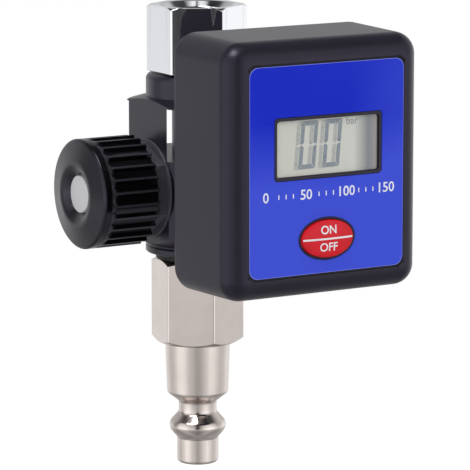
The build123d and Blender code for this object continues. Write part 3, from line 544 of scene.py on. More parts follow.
def polished_chrome_plate():
    """Bright chrome over polished brass: clear reflections with a trace of waviness from the polishing."""
    made, tree, shader, place = start_material("polished_chrome_plate", Metallic=1.0)
    shader.inputs["Base Color"].default_value = colour("E4E6EA")
    haze = add_node(tree, "ShaderNodeTexNoise", {"Vector": place, "Scale": 700.0, "Detail": 3.0})
    rough = add_node(tree, "ShaderNodeMapRange", {
        "Value": haze.outputs["Fac"], "From Min": 0.3, "From Max": 0.7, "To Min": 0.05, "To Max": 0.09})
    tree.links.new(rough.outputs["Result"], shader.inputs["Roughness"])
    wave = add_node(tree, "ShaderNodeTexNoise", {"Vector": place, "Scale": 180.0, "Detail": 1.0})
    bump = add_node(tree, "ShaderNodeBump", {"Height": wave.outputs["Fac"], "Strength": 0.05, "Distance": 0.0001})
    tree.links.new(bump.outputs["Normal"], shader.inputs["Normal"])
    return made


def black_anodised_aluminium():
    """Blasted, then black anodised: a soft satin sheen with a fine even grain."""
    made, tree, shader, place = start_material("black_anodised_aluminium", Metallic=0.0, Specular_IOR_Level=0.45, Specular_Tint=COOL_GLOSS)
    grain = add_node(tree, "ShaderNodeTexNoise", {"Vector": place, "Scale": 7000.0, "Detail": 2.0})
    patches = add_node(tree, "ShaderNodeTexNoise", {"Vector": place, "Scale": 150.0, "Detail": 3.0})
    tint = add_node(tree, "ShaderNodeMapRange", {
        "Value": patches.outputs["Fac"], "From Min": 0.3, "From Max": 0.7, "To Min": 0.88, "To Max": 1.12})
    shade = add_node(tree, "ShaderNodeVectorMath", {
        0: colours().anodised[:3], "Scale": tint.outputs["Result"]}, operation="SCALE")
    tree.links.new(shade.outputs["Vector"], shader.inputs["Base Color"])
    rough = add_node(tree, "ShaderNodeMapRange", {
        "Value": grain.outputs["Fac"], "From Min": 0.3, "From Max": 0.7, "To Min": 0.26, "To Max": 0.34})
    tree.links.new(rough.outputs["Result"], shader.inputs["Roughness"])
    bump = add_node(tree, "ShaderNodeBump", {"Height": grain.outputs["Fac"], "Strength": 0.10, "Distance": 0.00003})
    tree.links.new(bump.outputs["Normal"], shader.inputs["Normal"])
    return made


def glossy_moulded_plastic(name, base, rough_low, rough_high, strength, scale):
    """Moulded plastic from a polished tool: a tight highlight over a faint flow pattern."""
    made, tree, shader, place = start_material(name, Metallic=0.0, IOR=1.5, Specular_IOR_Level=0.25)
    flow = add_node(tree, "ShaderNodeTexNoise", {"Vector": place, "Scale": scale, "Detail": 4.0})
    tint = add_node(tree, "ShaderNodeMapRange", {
        "Value": flow.outputs["Fac"], "From Min": 0.3, "From Max": 0.7, "To Min": 0.93, "To Max": 1.07})
    shade = add_node(tree, "ShaderNodeVectorMath", {0: base[:3], "Scale": tint.outputs["Result"]}, operation="SCALE")
    tree.links.new(shade.outputs["Vector"], shader.inputs["Base Color"])
    rough = add_node(tree, "ShaderNodeMapRange", {
        "Value": flow.outputs["Fac"], "From Min": 0.3, "From Max": 0.7, "To Min": rough_low, "To Max": rough_high})
    tree.links.new(rough.outputs["Result"], shader.inputs["Roughness"])
    bump = add_node(tree, "ShaderNodeBump", {
        "Height": flow.outputs["Fac"], "Strength": strength, "Distance": 0.00003})
    tree.links.new(bump.outputs["Normal"], shader.inputs["Normal"])
    return made


def ribbed_knob_nylon():
    """Glossy black nylon: black valleys, ridge tops painted grey as a painted highlight, and painted highlights on the
    run-outs behind the rim.
    """
    made, tree, shader, place = start_material(
        "polished_black_nylon", Metallic=0.0, IOR=1.5, Specular_Tint=COOL_GLOSS)
    axes = add_node(tree, "ShaderNodeSeparateXYZ", {"Vector": place})
    centred = add_node(tree, "ShaderNodeMath", {0: axes.outputs["Z"], 1: -KNOB_Z * MM}, operation="ADD")
    spoke = add_node(tree, "ShaderNodeCombineXYZ", {"X": axes.outputs["Y"], "Y": centred.outputs["Value"]})
    reach = add_node(tree, "ShaderNodeVectorMath", {0: spoke.outputs["Vector"]}, operation="LENGTH")
    radius = KnobOperator.radius
    rim = KnobOperator.lip - KnobOperator.crown - KnobOperator.rim_length
    ridge = add_node(tree, "ShaderNodeMapRange", {
        "Value": reach.outputs["Value"], "From Min": (radius - 0.1) * MM, "From Max": (radius - 0.02) * MM})
    grip = add_node(tree, "ShaderNodeMapRange", {
        "Value": axes.outputs["X"], "From Min": (-rim - 0.05) * MM, "From Max": (-rim + 0.1) * MM})
    # Mask of the ridge tops that are painted grey: a painted highlight along each ridge
    painted_ridge_highlight = add_node(tree, "ShaderNodeMath", {
        0: ridge.outputs["Result"], 1: grip.outputs["Result"]}, operation="MULTIPLY")
    # Mask of the valley run-outs behind the rim, painted lighter grey: a painted highlight
    fade = add_node(tree, "ShaderNodeMapRange", {
        "Value": axes.outputs["X"], "From Min": (-rim + 0.5) * MM, "From Max": (-rim + 1.3) * MM,
        "To Min": 1.0, "To Max": 0.0})
    valley = add_node(tree, "ShaderNodeMath", {0: 1.0, 1: ridge.outputs["Result"]}, operation="SUBTRACT")
    painted_runout_highlight = add_node(tree, "ShaderNodeMath", {
        0: fade.outputs["Result"], 1: valley.outputs["Value"]}, operation="MULTIPLY")
    painted_runout_highlight = add_node(tree, "ShaderNodeMath", {0: painted_runout_highlight.outputs["Value"], 1: grip.outputs["Result"]}, operation="MULTIPLY")
    flow = add_node(tree, "ShaderNodeTexNoise", {"Vector": place, "Scale": 500.0, "Detail": 4.0})
    # Base black with the painted ridge highlight, then the painted run-out highlight
    tone_with_painted_highlights = add_node(tree, "ShaderNodeMix", {
        "Factor": painted_ridge_highlight.outputs["Value"], 6: colours().knob, 7: colour("343239")}, data_type="RGBA")
    tone_with_painted_highlights = add_node(tree, "ShaderNodeMix", {
        "Factor": painted_runout_highlight.outputs["Value"], 6: tone_with_painted_highlights.outputs[2], 7: colour("4C4A52")}, data_type="RGBA")
    tint = add_node(tree, "ShaderNodeMapRange", {
        "Value": flow.outputs["Fac"], "From Min": 0.3, "From Max": 0.7, "To Min": 0.93, "To Max": 1.07})
    shade = add_node(tree, "ShaderNodeVectorMath", {
        0: tone_with_painted_highlights.outputs[2], "Scale": tint.outputs["Result"]}, operation="SCALE")
    tree.links.new(shade.outputs["Vector"], shader.inputs["Base Color"])
    rough = add_node(tree, "ShaderNodeMapRange", {
        "Value": flow.outputs["Fac"], "From Min": 0.3, "From Max": 0.7, "To Min": 0.15, "To Max": 0.2})
    tree.links.new(rough.outputs["Result"], shader.inputs["Roughness"])
    bump = add_node(tree, "ShaderNodeBump", {"Height": flow.outputs["Fac"], "Strength": 0.012, "Distance": 0.00003})
    tree.links.new(bump.outputs["Normal"], shader.inputs["Normal"])
    return made


def spark_eroded_plastic():
    """Housing moulded in a spark-eroded tool: a fine leathery grain that softens every highlight."""
    made, tree, shader, place = start_material(
        "spark_eroded_abs", Metallic=0.0, IOR=1.5, Specular_IOR_Level=0.34, Specular_Tint=COOL_GLOSS)
    # The grain is about 0.1 mm on the real box, drawn at 0.16 mm so that it shows
    pits = add_node(tree, "ShaderNodeTexVoronoi", {"Vector": place, "Scale": 6200.0}, feature="SMOOTH_F1")
    drift = add_node(tree, "ShaderNodeTexNoise", {"Vector": place, "Scale": 120.0, "Detail": 3.0})
    tint = add_node(tree, "ShaderNodeMapRange", {
        "Value": drift.outputs["Fac"], "From Min": 0.3, "From Max": 0.7, "To Min": 0.92, "To Max": 1.08})
    shade = add_node(tree, "ShaderNodeVectorMath", {
        0: colours().housing[:3], "Scale": tint.outputs["Result"]}, operation="SCALE")
    tree.links.new(shade.outputs["Vector"], shader.inputs["Base Color"])
    rough = add_node(tree, "ShaderNodeMapRange", {
        "Value": pits.outputs["Distance"], "From Min": 0.0, "From Max": 0.8, "To Min": 0.27, "To Max": 0.33})
    tree.links.new(rough.outputs["Result"], shader.inputs["Roughness"])
    bump = add_node(tree, "ShaderNodeBump", {"Height": pits.outputs["Distance"], "Strength": 0.08, "Distance": 0.00005})
    tree.links.new(bump.outputs["Normal"], shader.inputs["Normal"])
    return made


def printed_label_film():
    """Polycarbonate film printed blue from behind: a clear smooth coat over blue that is painted lighter downwards and
    to the right, a painted reflection.
    """
    made, tree, shader, place = start_material(
        "printed_polycarbonate_film", Metallic=0.0, IOR=1.5, Roughness=0.28, Specular_IOR_Level=0.1)
    axes = add_node(tree, "ShaderNodeSeparateXYZ", {"Vector": place})
    wash = add_node(tree, "ShaderNodeTexNoise", {"Vector": place, "Scale": 45.0, "Detail": 2.0})
    # Painted reflection: the blue lightens downwards, and through the next mask to the right; the noise is a faint
    # random wash
    share = add_node(tree, "ShaderNodeMapRange", {
        "Value": axes.outputs["Z"], "From Min": (GAUGE_Z - 4) * MM, "From Max": (GAUGE_Z + 9) * MM})
    shifted = add_node(tree, "ShaderNodeMath", {0: wash.outputs["Fac"], 1: -0.5}, operation="ADD")
    wash_and_painted_sheen = add_node(tree, "ShaderNodeMath", {
        0: shifted.outputs["Value"], 1: 0.35, 2: share.outputs["Result"]}, operation="MULTIPLY_ADD")
    # Painted diagonal reflection: lighter towards the right
    across = add_node(tree, "ShaderNodeMapRange", {
        "Value": axes.outputs["X"], "From Min": 4 * MM, "From Max": 17 * MM, "To Max": -0.4})
    wash_and_painted_sheen = add_node(tree, "ShaderNodeMath", {
        0: wash_and_painted_sheen.outputs["Value"], 1: across.outputs["Result"]}, operation="ADD")
    ink_with_painted_sheen = add_node(tree, "ShaderNodeMix", {
        "Factor": wash_and_painted_sheen.outputs["Value"], 6: colours().label_foot_painted_sheen, 7: colours().label_top}, data_type="RGBA")
    tree.links.new(ink_with_painted_sheen.outputs[2], shader.inputs["Base Color"])
    return made


def reflective_display_film():
    """Reflective liquid crystal cell behind glass: grey-green, with painted shade towards the frame at its right."""
    made, tree, shader, place = start_material(
        "reflective_liquid_crystal_cell", Metallic=0.0, IOR=1.5, Roughness=0.16, Specular_IOR_Level=0.4)
    across = add_node(tree, "ShaderNodeSeparateXYZ", {"Vector": place})
    ramp = add_node(tree, "ShaderNodeValToRGB")
    share = add_node(tree, "ShaderNodeMapRange", {
        "Value": across.outputs["X"], "From Min": (DISPLAY_X - 11) * MM, "From Max": (DISPLAY_X + 11) * MM})
    tree.links.new(share.outputs["Result"], ramp.inputs["Fac"])
    # Grey-green ground, then painted shade of the frame and a painted band for its wall towards the right edge
    stops = ((0.0, "D2D3C9"), (0.76, "D4D5CD"), (0.83, "B2B5B0"), (0.9, "84898D"), (0.94, "8E8F92"), (0.975, "A5A09E"), (1.0, "77706F"))
    while len(ramp.color_ramp.elements) < len(stops):
        ramp.color_ramp.elements.new(0.5)
    for element, (position, shade) in zip(ramp.color_ramp.elements, stops):
        element.position = position
        element.color = colour(shade)
    speck = add_node(tree, "ShaderNodeTexNoise", {"Vector": place, "Scale": 5000.0, "Detail": 1.0})
    tint = add_node(tree, "ShaderNodeMapRange", {
        "Value": speck.outputs["Fac"], "From Min": 0.3, "From Max": 0.7, "To Min": 0.97, "To Max": 1.02})
    shaded = add_node(tree, "ShaderNodeVectorMath", {
        0: ramp.outputs["Color"], "Scale": tint.outputs["Result"]}, operation="SCALE")
    tree.links.new(shaded.outputs["Vector"], shader.inputs["Base Color"])
    return made


def plain_finish(name, base, metallic, rough, strength=0.05, scale=1500.0):
    """Finish of a piece with one even colour, with a little grain in its colour, gloss and surface."""
    made, tree, shader, place = start_material(name, Metallic=metallic)
    grain = add_node(tree, "ShaderNodeTexNoise", {"Vector": place, "Scale": scale, "Detail": 3.0})
    tint = add_node(tree, "ShaderNodeMapRange", {
        "Value": grain.outputs["Fac"], "From Min": 0.3, "From Max": 0.7, "To Min": 0.92, "To Max": 1.08})
    shade = add_node(tree, "ShaderNodeVectorMath", {
        0: colour(base)[:3], "Scale": tint.outputs["Result"]}, operation="SCALE")
    tree.links.new(shade.outputs["Vector"], shader.inputs["Base Color"])
    gloss = add_node(tree, "ShaderNodeMapRange", {
        "Value": grain.outputs["Fac"], "From Min": 0.3, "From Max": 0.7,
        "To Min": rough * 0.85, "To Max": min(rough * 1.15, 1.0)})
    tree.links.new(gloss.outputs["Result"], shader.inputs["Roughness"])
    bump = add_node(tree, "ShaderNodeBump", {
        "Height": grain.outputs["Fac"], "Strength": strength, "Distance": 0.00004})
    tree.links.new(bump.outputs["Normal"], shader.inputs["Normal"])
    return made


FINISHES = {}


def finish(name):
    """A finish by its name, made the first time it is asked for."""
    makers = {
        "nickel": satin_nickel_plate,
        "chrome": polished_chrome_plate,
        "anodised": black_anodised_aluminium,
        "housing": spark_eroded_plastic,
        "label": printed_label_film,
        "display": reflective_display_film,
        "knob": ribbed_knob_nylon,
        "button": lambda: glossy_moulded_plastic("polished_red_abs", colours().button, 0.14, 0.18, 0.015, 500.0),
        "bonnet": lambda: plain_finish("blackened_steel", "4C4A52", 0.0, 0.4),
        # Pale blue for the label's front edge: a painted highlight
        "film_edge_painted_highlight": lambda: plain_finish("clear_film_edge_painted_highlight", "7A83EC", 0.0, 0.4),
        # Black for the ring in the label's groove: a painted shadow
        "groove": lambda: plain_finish("painted_groove_shadow_black", "060507", 0.0, 0.7),
        "rubber": lambda: plain_finish("nitrile_rubber", "0B0B0C", 0.0, 0.6),
        "white_plastic": lambda: plain_finish("natural_acetal", "E2E1DB", 0.0, 0.4),
        "steel": lambda: plain_finish("turned_steel", "B4B3B1", 1.0, 0.3),
        "brass": lambda: plain_finish("turned_brass", "C9A45A", 1.0, 0.3),
        "badge": lambda: plain_finish("blasted_aluminium_disc", "D6D6DA", 0.6, 0.5, 0.9, 3800.0),
        "ceramic": lambda: plain_finish("unglazed_alumina", "E6E1D6", 0.0, 0.7),
        "tin": lambda: plain_finish("tinned_wire", "BDBDB8", 1.0, 0.35),
        "strip": lambda: plain_finish("carbon_loaded_silicone", "5D5960", 0.0, 0.6),
        "switch": lambda: plain_finish("black_polyamide", "101012", 0.0, 0.45),
        "board": lambda: plain_finish("green_solder_mask", "1F5A33", 0.0, 0.35),
        "cell": lambda: plain_finish("pressed_stainless_steel", "C2C2C4", 1.0, 0.28),
        "print": lambda: plain_finish("white_print", "F2F3F8", 0.0, 0.45, 0.02),
        "segment": lambda: plain_finish("dark_crystal_segment", "868F97", 0.0, 0.3, 0.0),
        "ghost": lambda: plain_finish("segment_shadow", "B0B3AE", 0.0, 0.3, 0.0),
    }
    if name not in FINISHES:
        FINISHES[name] = makers[name]()
    return FINISHES[name]


# Carried-over CAD nodes and the finish each one takes
CARRIED = {
    "inlet_seal": "rubber", "outlet_seal": "rubber", "bonnet_o_ring": "rubber", "spindle_o_ring": "rubber",
    "gauge_stem_seal": "rubber", "sensor_seal": "rubber", "valve_seat": "white_plastic",
    "needle_spindle": "steel", "knob_insert": "brass", "knob_screw": "steel", "stem_lock_nut": "brass",
    "gauge_stem": "nickel", "pressure_sensor": "ceramic", "sensor_pins": "tin", "lcd_connectors": "strip",
    "tact_switch": "switch", "circuit_board": "board", "board_screws": "steel", "battery": "cell",
    "battery_clip": "steel", "outlet_stem": "nickel",
}


class InletPlugOperator(bpy.types.Operator):
    """Quick-connect plug: bored nose, latching bead, neck, barrel and chamfered hexagon"""

    bl_idname = "regulator.inlet_plug"
    bl_label = "Inlet plug"

    def execute(self, context):
        size = sizes()
        across = 15.9
        turn = math.radians(-8.9)
        foot = 24.3
        head = SEAL_LOW.z
        face = across / 2 * 0.94
        columns = []
        for angle in hexagon_angles(across, size.hexagon_corner):
            reach = hexagon_radius(angle, across, size.hexagon_corner)
            drop = (reach - face) * math.tan(math.radians(30))
            outline = softened([
                (2.8, 0.4, 0), (3.1, 0.0, 0.1), (3.7, 0.0, 0.2), (4.1, 0.4, 0.25), (4.1, 5.1, 0.25),
                (5.25, 6.4, 0.5), (5.62, 7.35, 0.55), (5.4, 8.35, 0.45), (3.95, 9.95, 0.3), (3.76, 10.3, 0.2),
                (3.76, 12.3, 0.25), (6.02, 14.1, 0.45), (6.38, foot, 0.12), (face, foot, 0.12),
                (reach, foot + drop, 0.1), (reach, head - drop, 0.1), (face, head, 0.12),
                (6.58, head, 0), (6.58, PLUG_HIGH.z, 0), (2.8, PLUG_HIGH.z, 0)], closed=True)
            columns.append((angle + turn, outline))
        mesh = column_mesh("inlet_plug_finished", columns, closed=True, sharp=28.0)
        piece("quick_connect_plug", mesh, "regulator", "nickel_plate", finish("nickel"), "inlet_plug")
        return {"FINISHED"}


class ValveBodyOperator(bpy.types.Operator):
    """Valve body: turned spool with milled flats, windows, port tube and gauge boss"""

    bl_idname = "regulator.valve_body"
    bl_label = "Valve body"

    flat = 11.0
    radius = 13.7
    window_low = 61.6
    window_high = 71.65

    def spool(self, name, corners):
        """Turned solid on the port axis, cut back to the two flats; corners are (radius, height)."""
        edge = math.acos(self.flat / self.radius)
        angles = []
        for side in (0, math.pi):
            for step in range(16):
                angles.append(side - edge + 2 * edge * step / 16)
            for step in range(40):
                angles.append(side + edge + (math.pi - 2 * edge) * step / 40)
        columns = []
        for angle in angles:
            limit = self.flat / max(abs(math.cos(angle)), 1e-9)
            outline = []
            for index, (across, along) in enumerate(corners):
                if across <= limit:
                    outline.append((across, along))
                    continue
                neighbour = None
                for other in (index - 1, index + 1):
                    if 0 <= other < len(corners) and corners[other][0] <= limit and corners[other][1] != along:
                        neighbour = corners[other]
                if neighbour:
                    share = (limit - neighbour[0]) / (across - neighbour[0])
                    along = neighbour[1] + share * (along - neighbour[1])
                outline.append((limit, along))
            columns.append((angle, outline))
        return column_mesh(name, columns)

    def execute(self, context):
        size = sizes()
        flange_z = BODY_LOW.z
        groove = 0.22
        groove_z = flange_z + 1.8 - 2 * groove
        lower = self.spool("lower_spool", [
            (0, flange_z), (10.1 - groove, flange_z), (10.1, flange_z + groove), (10.1, groove_z - groove),
            (10.1 - groove, groove_z), (10.1, groove_z + groove), (10.1, flange_z + 1.8),
            (self.radius, flange_z + 3.9), (self.radius, self.window_low), (0, self.window_low)])
        collar = 9.95
        top = BODY_HIGH.z
        shoulder = 71.9
        bend = 1.2
        rim = []
        for step in range(7):
            turn = math.radians(15 * step)
            rim.append((collar - bend + bend * math.cos(turn), top - bend + bend * math.sin(turn)))
        upper = self.spool("upper_spool", [
            (0, self.window_high), (self.radius, self.window_high), (self.radius, shoulder),
            (collar, shoulder + 1.1), *rim, (0, top)])
        parts = [lower, upper]
        for side in (1, -1):
            section = [(self.flat, -7.5), (self.flat, 7.5), (7.7, 1.5), (7.7, -1.5)]
            section = [(x * side, y) for x, y in section]
            low = self.window_low - 0.2
            high = self.window_high + 0.2
            points = [(x, y, low) for x, y in section] + [(x, y, high) for x, y in section]
            faces = bridged([0, 1], 4, False, True) + [(0, 1, 2, 3), (4, 5, 6, 7)]
            parts.append(new_mesh("side_wall", points, faces))
        parts.append(turned_mesh("port_tube", [
            (0, self.window_low - 0.2, 0), (4.9, self.window_low - 0.2, 0), (4.9, self.window_high + 0.2, 0),
            (0, self.window_high + 0.2, 0)], steps=64))
        parts.append(turned_mesh("gauge_boss", [
            (0, 2.0, 0), (6.0, 2.0, 0), (6.0, 14.7, 0), (0, 14.7, 0)], ON_GAUGE_AXIS, steps=64))
        mesh = united("valve_body_finished", parts)
        bores = []
        bores.append(turned_mesh("outlet_bore", [
            (0, 60.0, 0), (2.4, 60.0, 0), (2.4, 72.78, 0), (4.34, 72.78, 0), (4.34, 76.2, 0), (5.5, 76.2, 0),
            (5.5, 80.0, 0), (0, 80.0, 0)], steps=64))
        bores.append(turned_mesh("inlet_bore", [
            (0, 42.0, 0), (6.62, 42.0, 0), (6.62, 49.6, 0), (2.3, 49.6, 0), (2.3, 55.5, 0), (0, 55.5, 0)], steps=64))
        bores.append(turned_mesh("valve_bore", [
            (0, 1.3, 0), (3.3, 1.3, 0), (3.3, 2.9, 0), (4.0, 2.9, 0), (4.0, 6.48, 0), (5.04, 6.48, 0),
            (5.04, 10.3, 0), (6.2, 10.3, 0), (6.2, 12.0, 0), (0, 12.0, 0)], ON_KNOB_AXIS, steps=64))
        bores.append(turned_mesh("gauge_bore", [
            (0, 1.0, 0), (1.2, 1.0, 0), (1.2, 8.2, 0), (4.04, 8.2, 0), (4.04, 15.0, 0), (0, 15.0, 0)],
            ON_GAUGE_AXIS, steps=64))
        mesh = united("valve_body_finished", [mesh, *bores], "DIFFERENCE")
        mesh = bevelled(mesh, size.edge_break)
        finish_shading(mesh, 30.0)
        piece("valve_body_spool", mesh, "regulator", "anodised_aluminium", finish("anodised"), "valve_body")
        return {"FINISHED"}


class SwivelNutOperator(bpy.types.Operator):
    """Swivel nut: chromed hexagon with rounded corners, threaded bore, relief and lip"""

    bl_idname = "regulator.swivel_nut"
    bl_label = "Swivel nut"

    def thread(self, low, high, radius):
        """Ridge of the internal thread, wound up the bore."""
        pitch = sizes().thread_pitch
        per_turn = 72
        steps = int((high - low) / pitch * per_turn)
        depth = 0.55 * pitch
        points = []
        for step in range(steps + 1):
            turn = 2 * math.pi * step / per_turn
            rise = low + (high - low) * step / steps
            fade = min(1.0, step / 18, (steps - step) / 18)
            for across, along in ((radius + 0.15, -0.42), (radius - depth * fade, -0.06),
                                  (radius - depth * fade, 0.06), (radius + 0.15, 0.42)):
                points.append((across * math.cos(turn), across * math.sin(turn), rise + along * pitch))
        count = 4
        loops = [None] * (steps + 1)
        faces = bridged(loops, count, False, True)
        faces.append((0, 1, 2, 3))
        faces.append(tuple(range(len(points) - 4, len(points))))
        return new_mesh("thread_ridge", points, faces)

    def execute(self, context):
        size = sizes()
        across = 17.0
        turn = math.radians(-0.6)
        low, high = NUT_LOW.z, NUT_HIGH.z
        face = across / 2 + 0.65
        thread = frame_mount("gun_thread")
        bore = thread["dims"]["r_mm"]
        relief_top = high - 1.2 - thread["dims"]["length_mm"]
        columns = []
        for angle in hexagon_angles(across, size.nut_corner, 16, 8):
            reach = hexagon_radius(angle, across, size.nut_corner)
            drop = max(reach - face, 0) * math.tan(math.radians(35))
            outline = softened([
                (5.0, low, 0.15), (reach, low, 0.2), (reach, high - drop, 0.16),
                (min(face, reach), high, 0.25), (7.4, high, 0.3),
                (bore, high - 1.2, 0.15), (bore, relief_top, 0.1), (6.6, relief_top, 0),
                (6.6, low + 2.4, 0), (5.0, low + 2.4, 0.15)], closed=True)
            columns.append((angle + turn, outline))
        shell = column_mesh("nut_shell", columns, closed=True, sharp=28.0)
        ridge = self.thread(relief_top + 0.6, high - 1.3, bore)
        mesh = joined("swivel_nut_finished", [shell, ridge])
        piece("swivel_nut_chromed", mesh, "nut", "chrome_plate", finish("chrome"), "swivel_nut")
        return {"FINISHED"}


def frame_mount(name):
    """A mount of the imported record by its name."""
    return next(mount for mount in frame["record"]["mounts"] if mount["name"] == name)


class BonnetOperator(bpy.types.Operator):
    """Bonnet of the needle valve: round face against the flat and chamfered hexagon"""

    bl_idname = "regulator.bonnet"
    bl_label = "Bonnet"

    def execute(self, context):
        size = sizes()
        across = 16.5
        disc = 9.6
        back = -BONNET_HIGH.x
        seat = 11.0
        hexagon = seat + 0.5
        front = -BONNET_LOW.x - 0.2
        face = across / 2 * 0.97
        columns = []
        for angle in hexagon_angles(across, 0.15):
            reach = hexagon_radius(angle, across, 0.15)
            drop = (reach - face) * math.tan(math.radians(30))
            outline = softened([
                (2.56, back, 0), (5.0, back, 0.2), (5.0, seat, 0), (disc, seat, 0.1), (disc, hexagon, 0.15),
                (reach, hexagon, 0), (reach, front - drop, 0.12), (face, front, 0.1), (2.56, front, 0.1)], closed=True)
            columns.append((angle + math.radians(35), outline))
        mesh = column_mesh("bonnet_finished", columns, ON_KNOB_AXIS, closed=True, sharp=28.0)
        piece("valve_bonnet", mesh, "regulator", "anodised_aluminium", finish("bonnet"), "bonnet")
        return {"FINISHED"}


class KnobOperator(bpy.types.Operator):
    """Control knob: crowned face with a dished centre, smooth rim and ribbed grip"""

    bl_idname = "regulator.knob"
    bl_label = "Control knob"

    radius = (KNOB_HIGH.z - KNOB_LOW.z) / 2 + 0.45
    rear = -KNOB_HIGH.x - 0.2
    lip = -KNOB_LOW.x
    crown = 0.95
    rim_length = 1.5

    def grip_sector(self):
        """One pitch of the grip: a rib between two half valleys, whose floors run out at the rim."""
        size = sizes()
        root = self.radius - size.rib_depth
        rim = self.lip - self.crown - self.rim_length
        pitch = 2 * math.pi / size.ribs
        tip = size.rib_tip / 2 / self.radius
        foot = size.rib_root / 2 / root
        half = pitch / 2
        shares = (0.0, 0.2, 0.4, 0.6, 0.8, 0.93)
        angles = [-half + (half - foot) * share for share in shares]
        angles += [-foot, -foot + (foot - tip) * 0.5, -tip, -tip / 2]
        angles = angles + [0.0] + [-angle for angle in reversed(angles)]
        run_out = 1.15
        columns = []
        for angle in angles:
            place = min(max((abs(angle) - tip) / (foot - tip), 0.0), 1.0)
            ridge = self.radius - size.rib_depth * place
            valley = (abs(angle) - foot) / (half - foot) if abs(angle) > foot else 0.0
            start = 0.75 * (1 - valley) ** 2
            outline = [(root - 0.5, self.rear), (ridge, self.rear)]
            steps = 8
            for step in range(steps + 1):
                share = step / steps
                along = rim - (start + run_out) * (1 - share)
                depth = min(max((rim - along - start) / run_out, 0.0), 1.0)
                floor = self.radius - 0.02 - size.rib_depth * depth
                outline.append((max(ridge, floor), along))
            outline.append((root - 0.5, rim))
            columns.append((angle, outline))
        return column_mesh("grip_sector", columns, ON_KNOB_AXIS, closed=True, whole=False, sharp=24.0)

    def repeat_tree(self, count):
        """Geometry Nodes tree that repeats a sector round the knob's axis."""
        tree = bpy.data.node_groups.new("Grip ribs", "GeometryNodeTree")
        tree.interface.new_socket("Geometry", in_out="INPUT", socket_type="NodeSocketGeometry")
        ribs = tree.interface.new_socket("Ribs", in_out="INPUT", socket_type="NodeSocketInt")
        rise = tree.interface.new_socket("Axis height", in_out="INPUT", socket_type="NodeSocketFloat")
        coat = tree.interface.new_socket("Finish", in_out="INPUT", socket_type="NodeSocketMaterial")
        tree.interface.new_socket("Geometry", in_out="OUTPUT", socket_type="NodeSocketGeometry")
        source = add_node(tree, "NodeGroupInput").outputs
        centre = add_node(tree, "ShaderNodeCombineXYZ", {"Z": source["Axis height"]})
        away = add_node(tree, "ShaderNodeVectorMath", {0: centre.outputs[0], "Scale": -1.0}, operation="SCALE")
        centred = add_node(tree, "GeometryNodeTransform", {
            "Geometry": source["Geometry"], "Translation": away.outputs["Vector"]})
        line = add_node(tree, "GeometryNodeMeshLine", {
            "Count": source["Ribs"], "Start Location": centre.outputs[0], "Offset": (0, 0, 0)})
        index = add_node(tree, "GeometryNodeInputIndex")
        step = add_node(tree, "ShaderNodeMath", {0: 2 * math.pi, 1: source["Ribs"]}, operation="DIVIDE")
        angle = add_node(tree, "ShaderNodeMath", {
            0: index.outputs[0], 1: step.outputs[0]}, operation="MULTIPLY")
        turn = add_node(tree, "ShaderNodeCombineXYZ", {"X": angle.outputs[0]})
        spin = add_node(tree, "FunctionNodeEulerToRotation", {"Euler": turn.outputs[0]})
        copies = add_node(tree, "GeometryNodeInstanceOnPoints", {
            "Points": line.outputs["Mesh"], "Instance": centred.outputs["Geometry"],
            "Rotation": spin.outputs["Rotation"]})
        real = add_node(tree, "GeometryNodeRealizeInstances", {"Geometry": copies.outputs["Instances"]})
        welded = add_node(tree, "GeometryNodeMergeByDistance", {
            "Geometry": real.outputs["Geometry"], "Distance": 2e-6})
        coated = add_node(tree, "GeometryNodeSetMaterial", {
            "Geometry": welded.outputs["Geometry"], "Material": source["Finish"]})
        add_node(tree, "NodeGroupOutput", {"Geometry": coated.outputs["Geometry"]})
        return tree, {ribs.identifier: count, rise.identifier: KNOB_Z * MM, coat.identifier: finish("knob")}

    def execute(self, context):
        size = sizes()
        front = self.lip - self.crown
        rim = front - self.rim_length
        badge_seat = -BADGE_HIGH.x
        badge_radius = (BADGE_HIGH.z - BADGE_LOW.z) / 2 + 0.03
        core = turned_mesh("knob_core", [
            (4.92, self.rear, 0.2), (self.radius - size.rib_depth - 0.35, self.rear, 0.2),
            (self.radius - size.rib_depth - 0.35, rim - 0.4, 0), (self.radius - 0.4, rim - 0.02, 0),
            (self.radius, rim, 0.1), (self.radius, front - 0.2, 0.12), (self.radius - 0.42, front + 0.16, 0.12),
            (6.35, self.lip - 0.02, 0.55), (5.75, self.lip, 0.35), (4.9, self.lip - 0.25, 0.4),
            (badge_radius, self.lip - 0.85, 0.12), (badge_radius, badge_seat, 0), (2.75, badge_seat, 0),
            (2.75, badge_seat - 1.7, 0), (1.3, badge_seat - 1.7, 0), (1.3, badge_seat - 3.2, 0),
            (3.5, badge_seat - 3.2, 0), (3.5, badge_seat - 8.2, 0), (4.92, badge_seat - 8.2, 0)],
            ON_KNOB_AXIS, closed=True, steps=128, sharp=30.0)
        tree, values = self.repeat_tree(size.ribs)

        def add(passing):
            modifier = passing.modifiers.new("Grip ribs", "NODES")
            modifier.node_group = tree
            for identifier, value in values.items():
                modifier[identifier] = value
        grip = evaluated("knob_grip", self.grip_sector(), add)
        finish_shading(grip, 24.0)
        mesh = joined("knob_finished", [core, grip])
        piece("knob_moulding", mesh, "control_knob", "knob_plastic", finish("knob"), "knob")
        badge = turned_mesh("badge_finished", [
            (0, badge_seat, 0), (badge_radius - 0.05, badge_seat, 0), (badge_radius - 0.05, -BADGE_LOW.x, 0.15),
            (0, -BADGE_LOW.x, 0)], ON_KNOB_AXIS, steps=96)
        piece("knob_centre_disc", badge, "control_knob", "badge_aluminium", finish("badge"), "knob_badge")
        return {"FINISHED"}


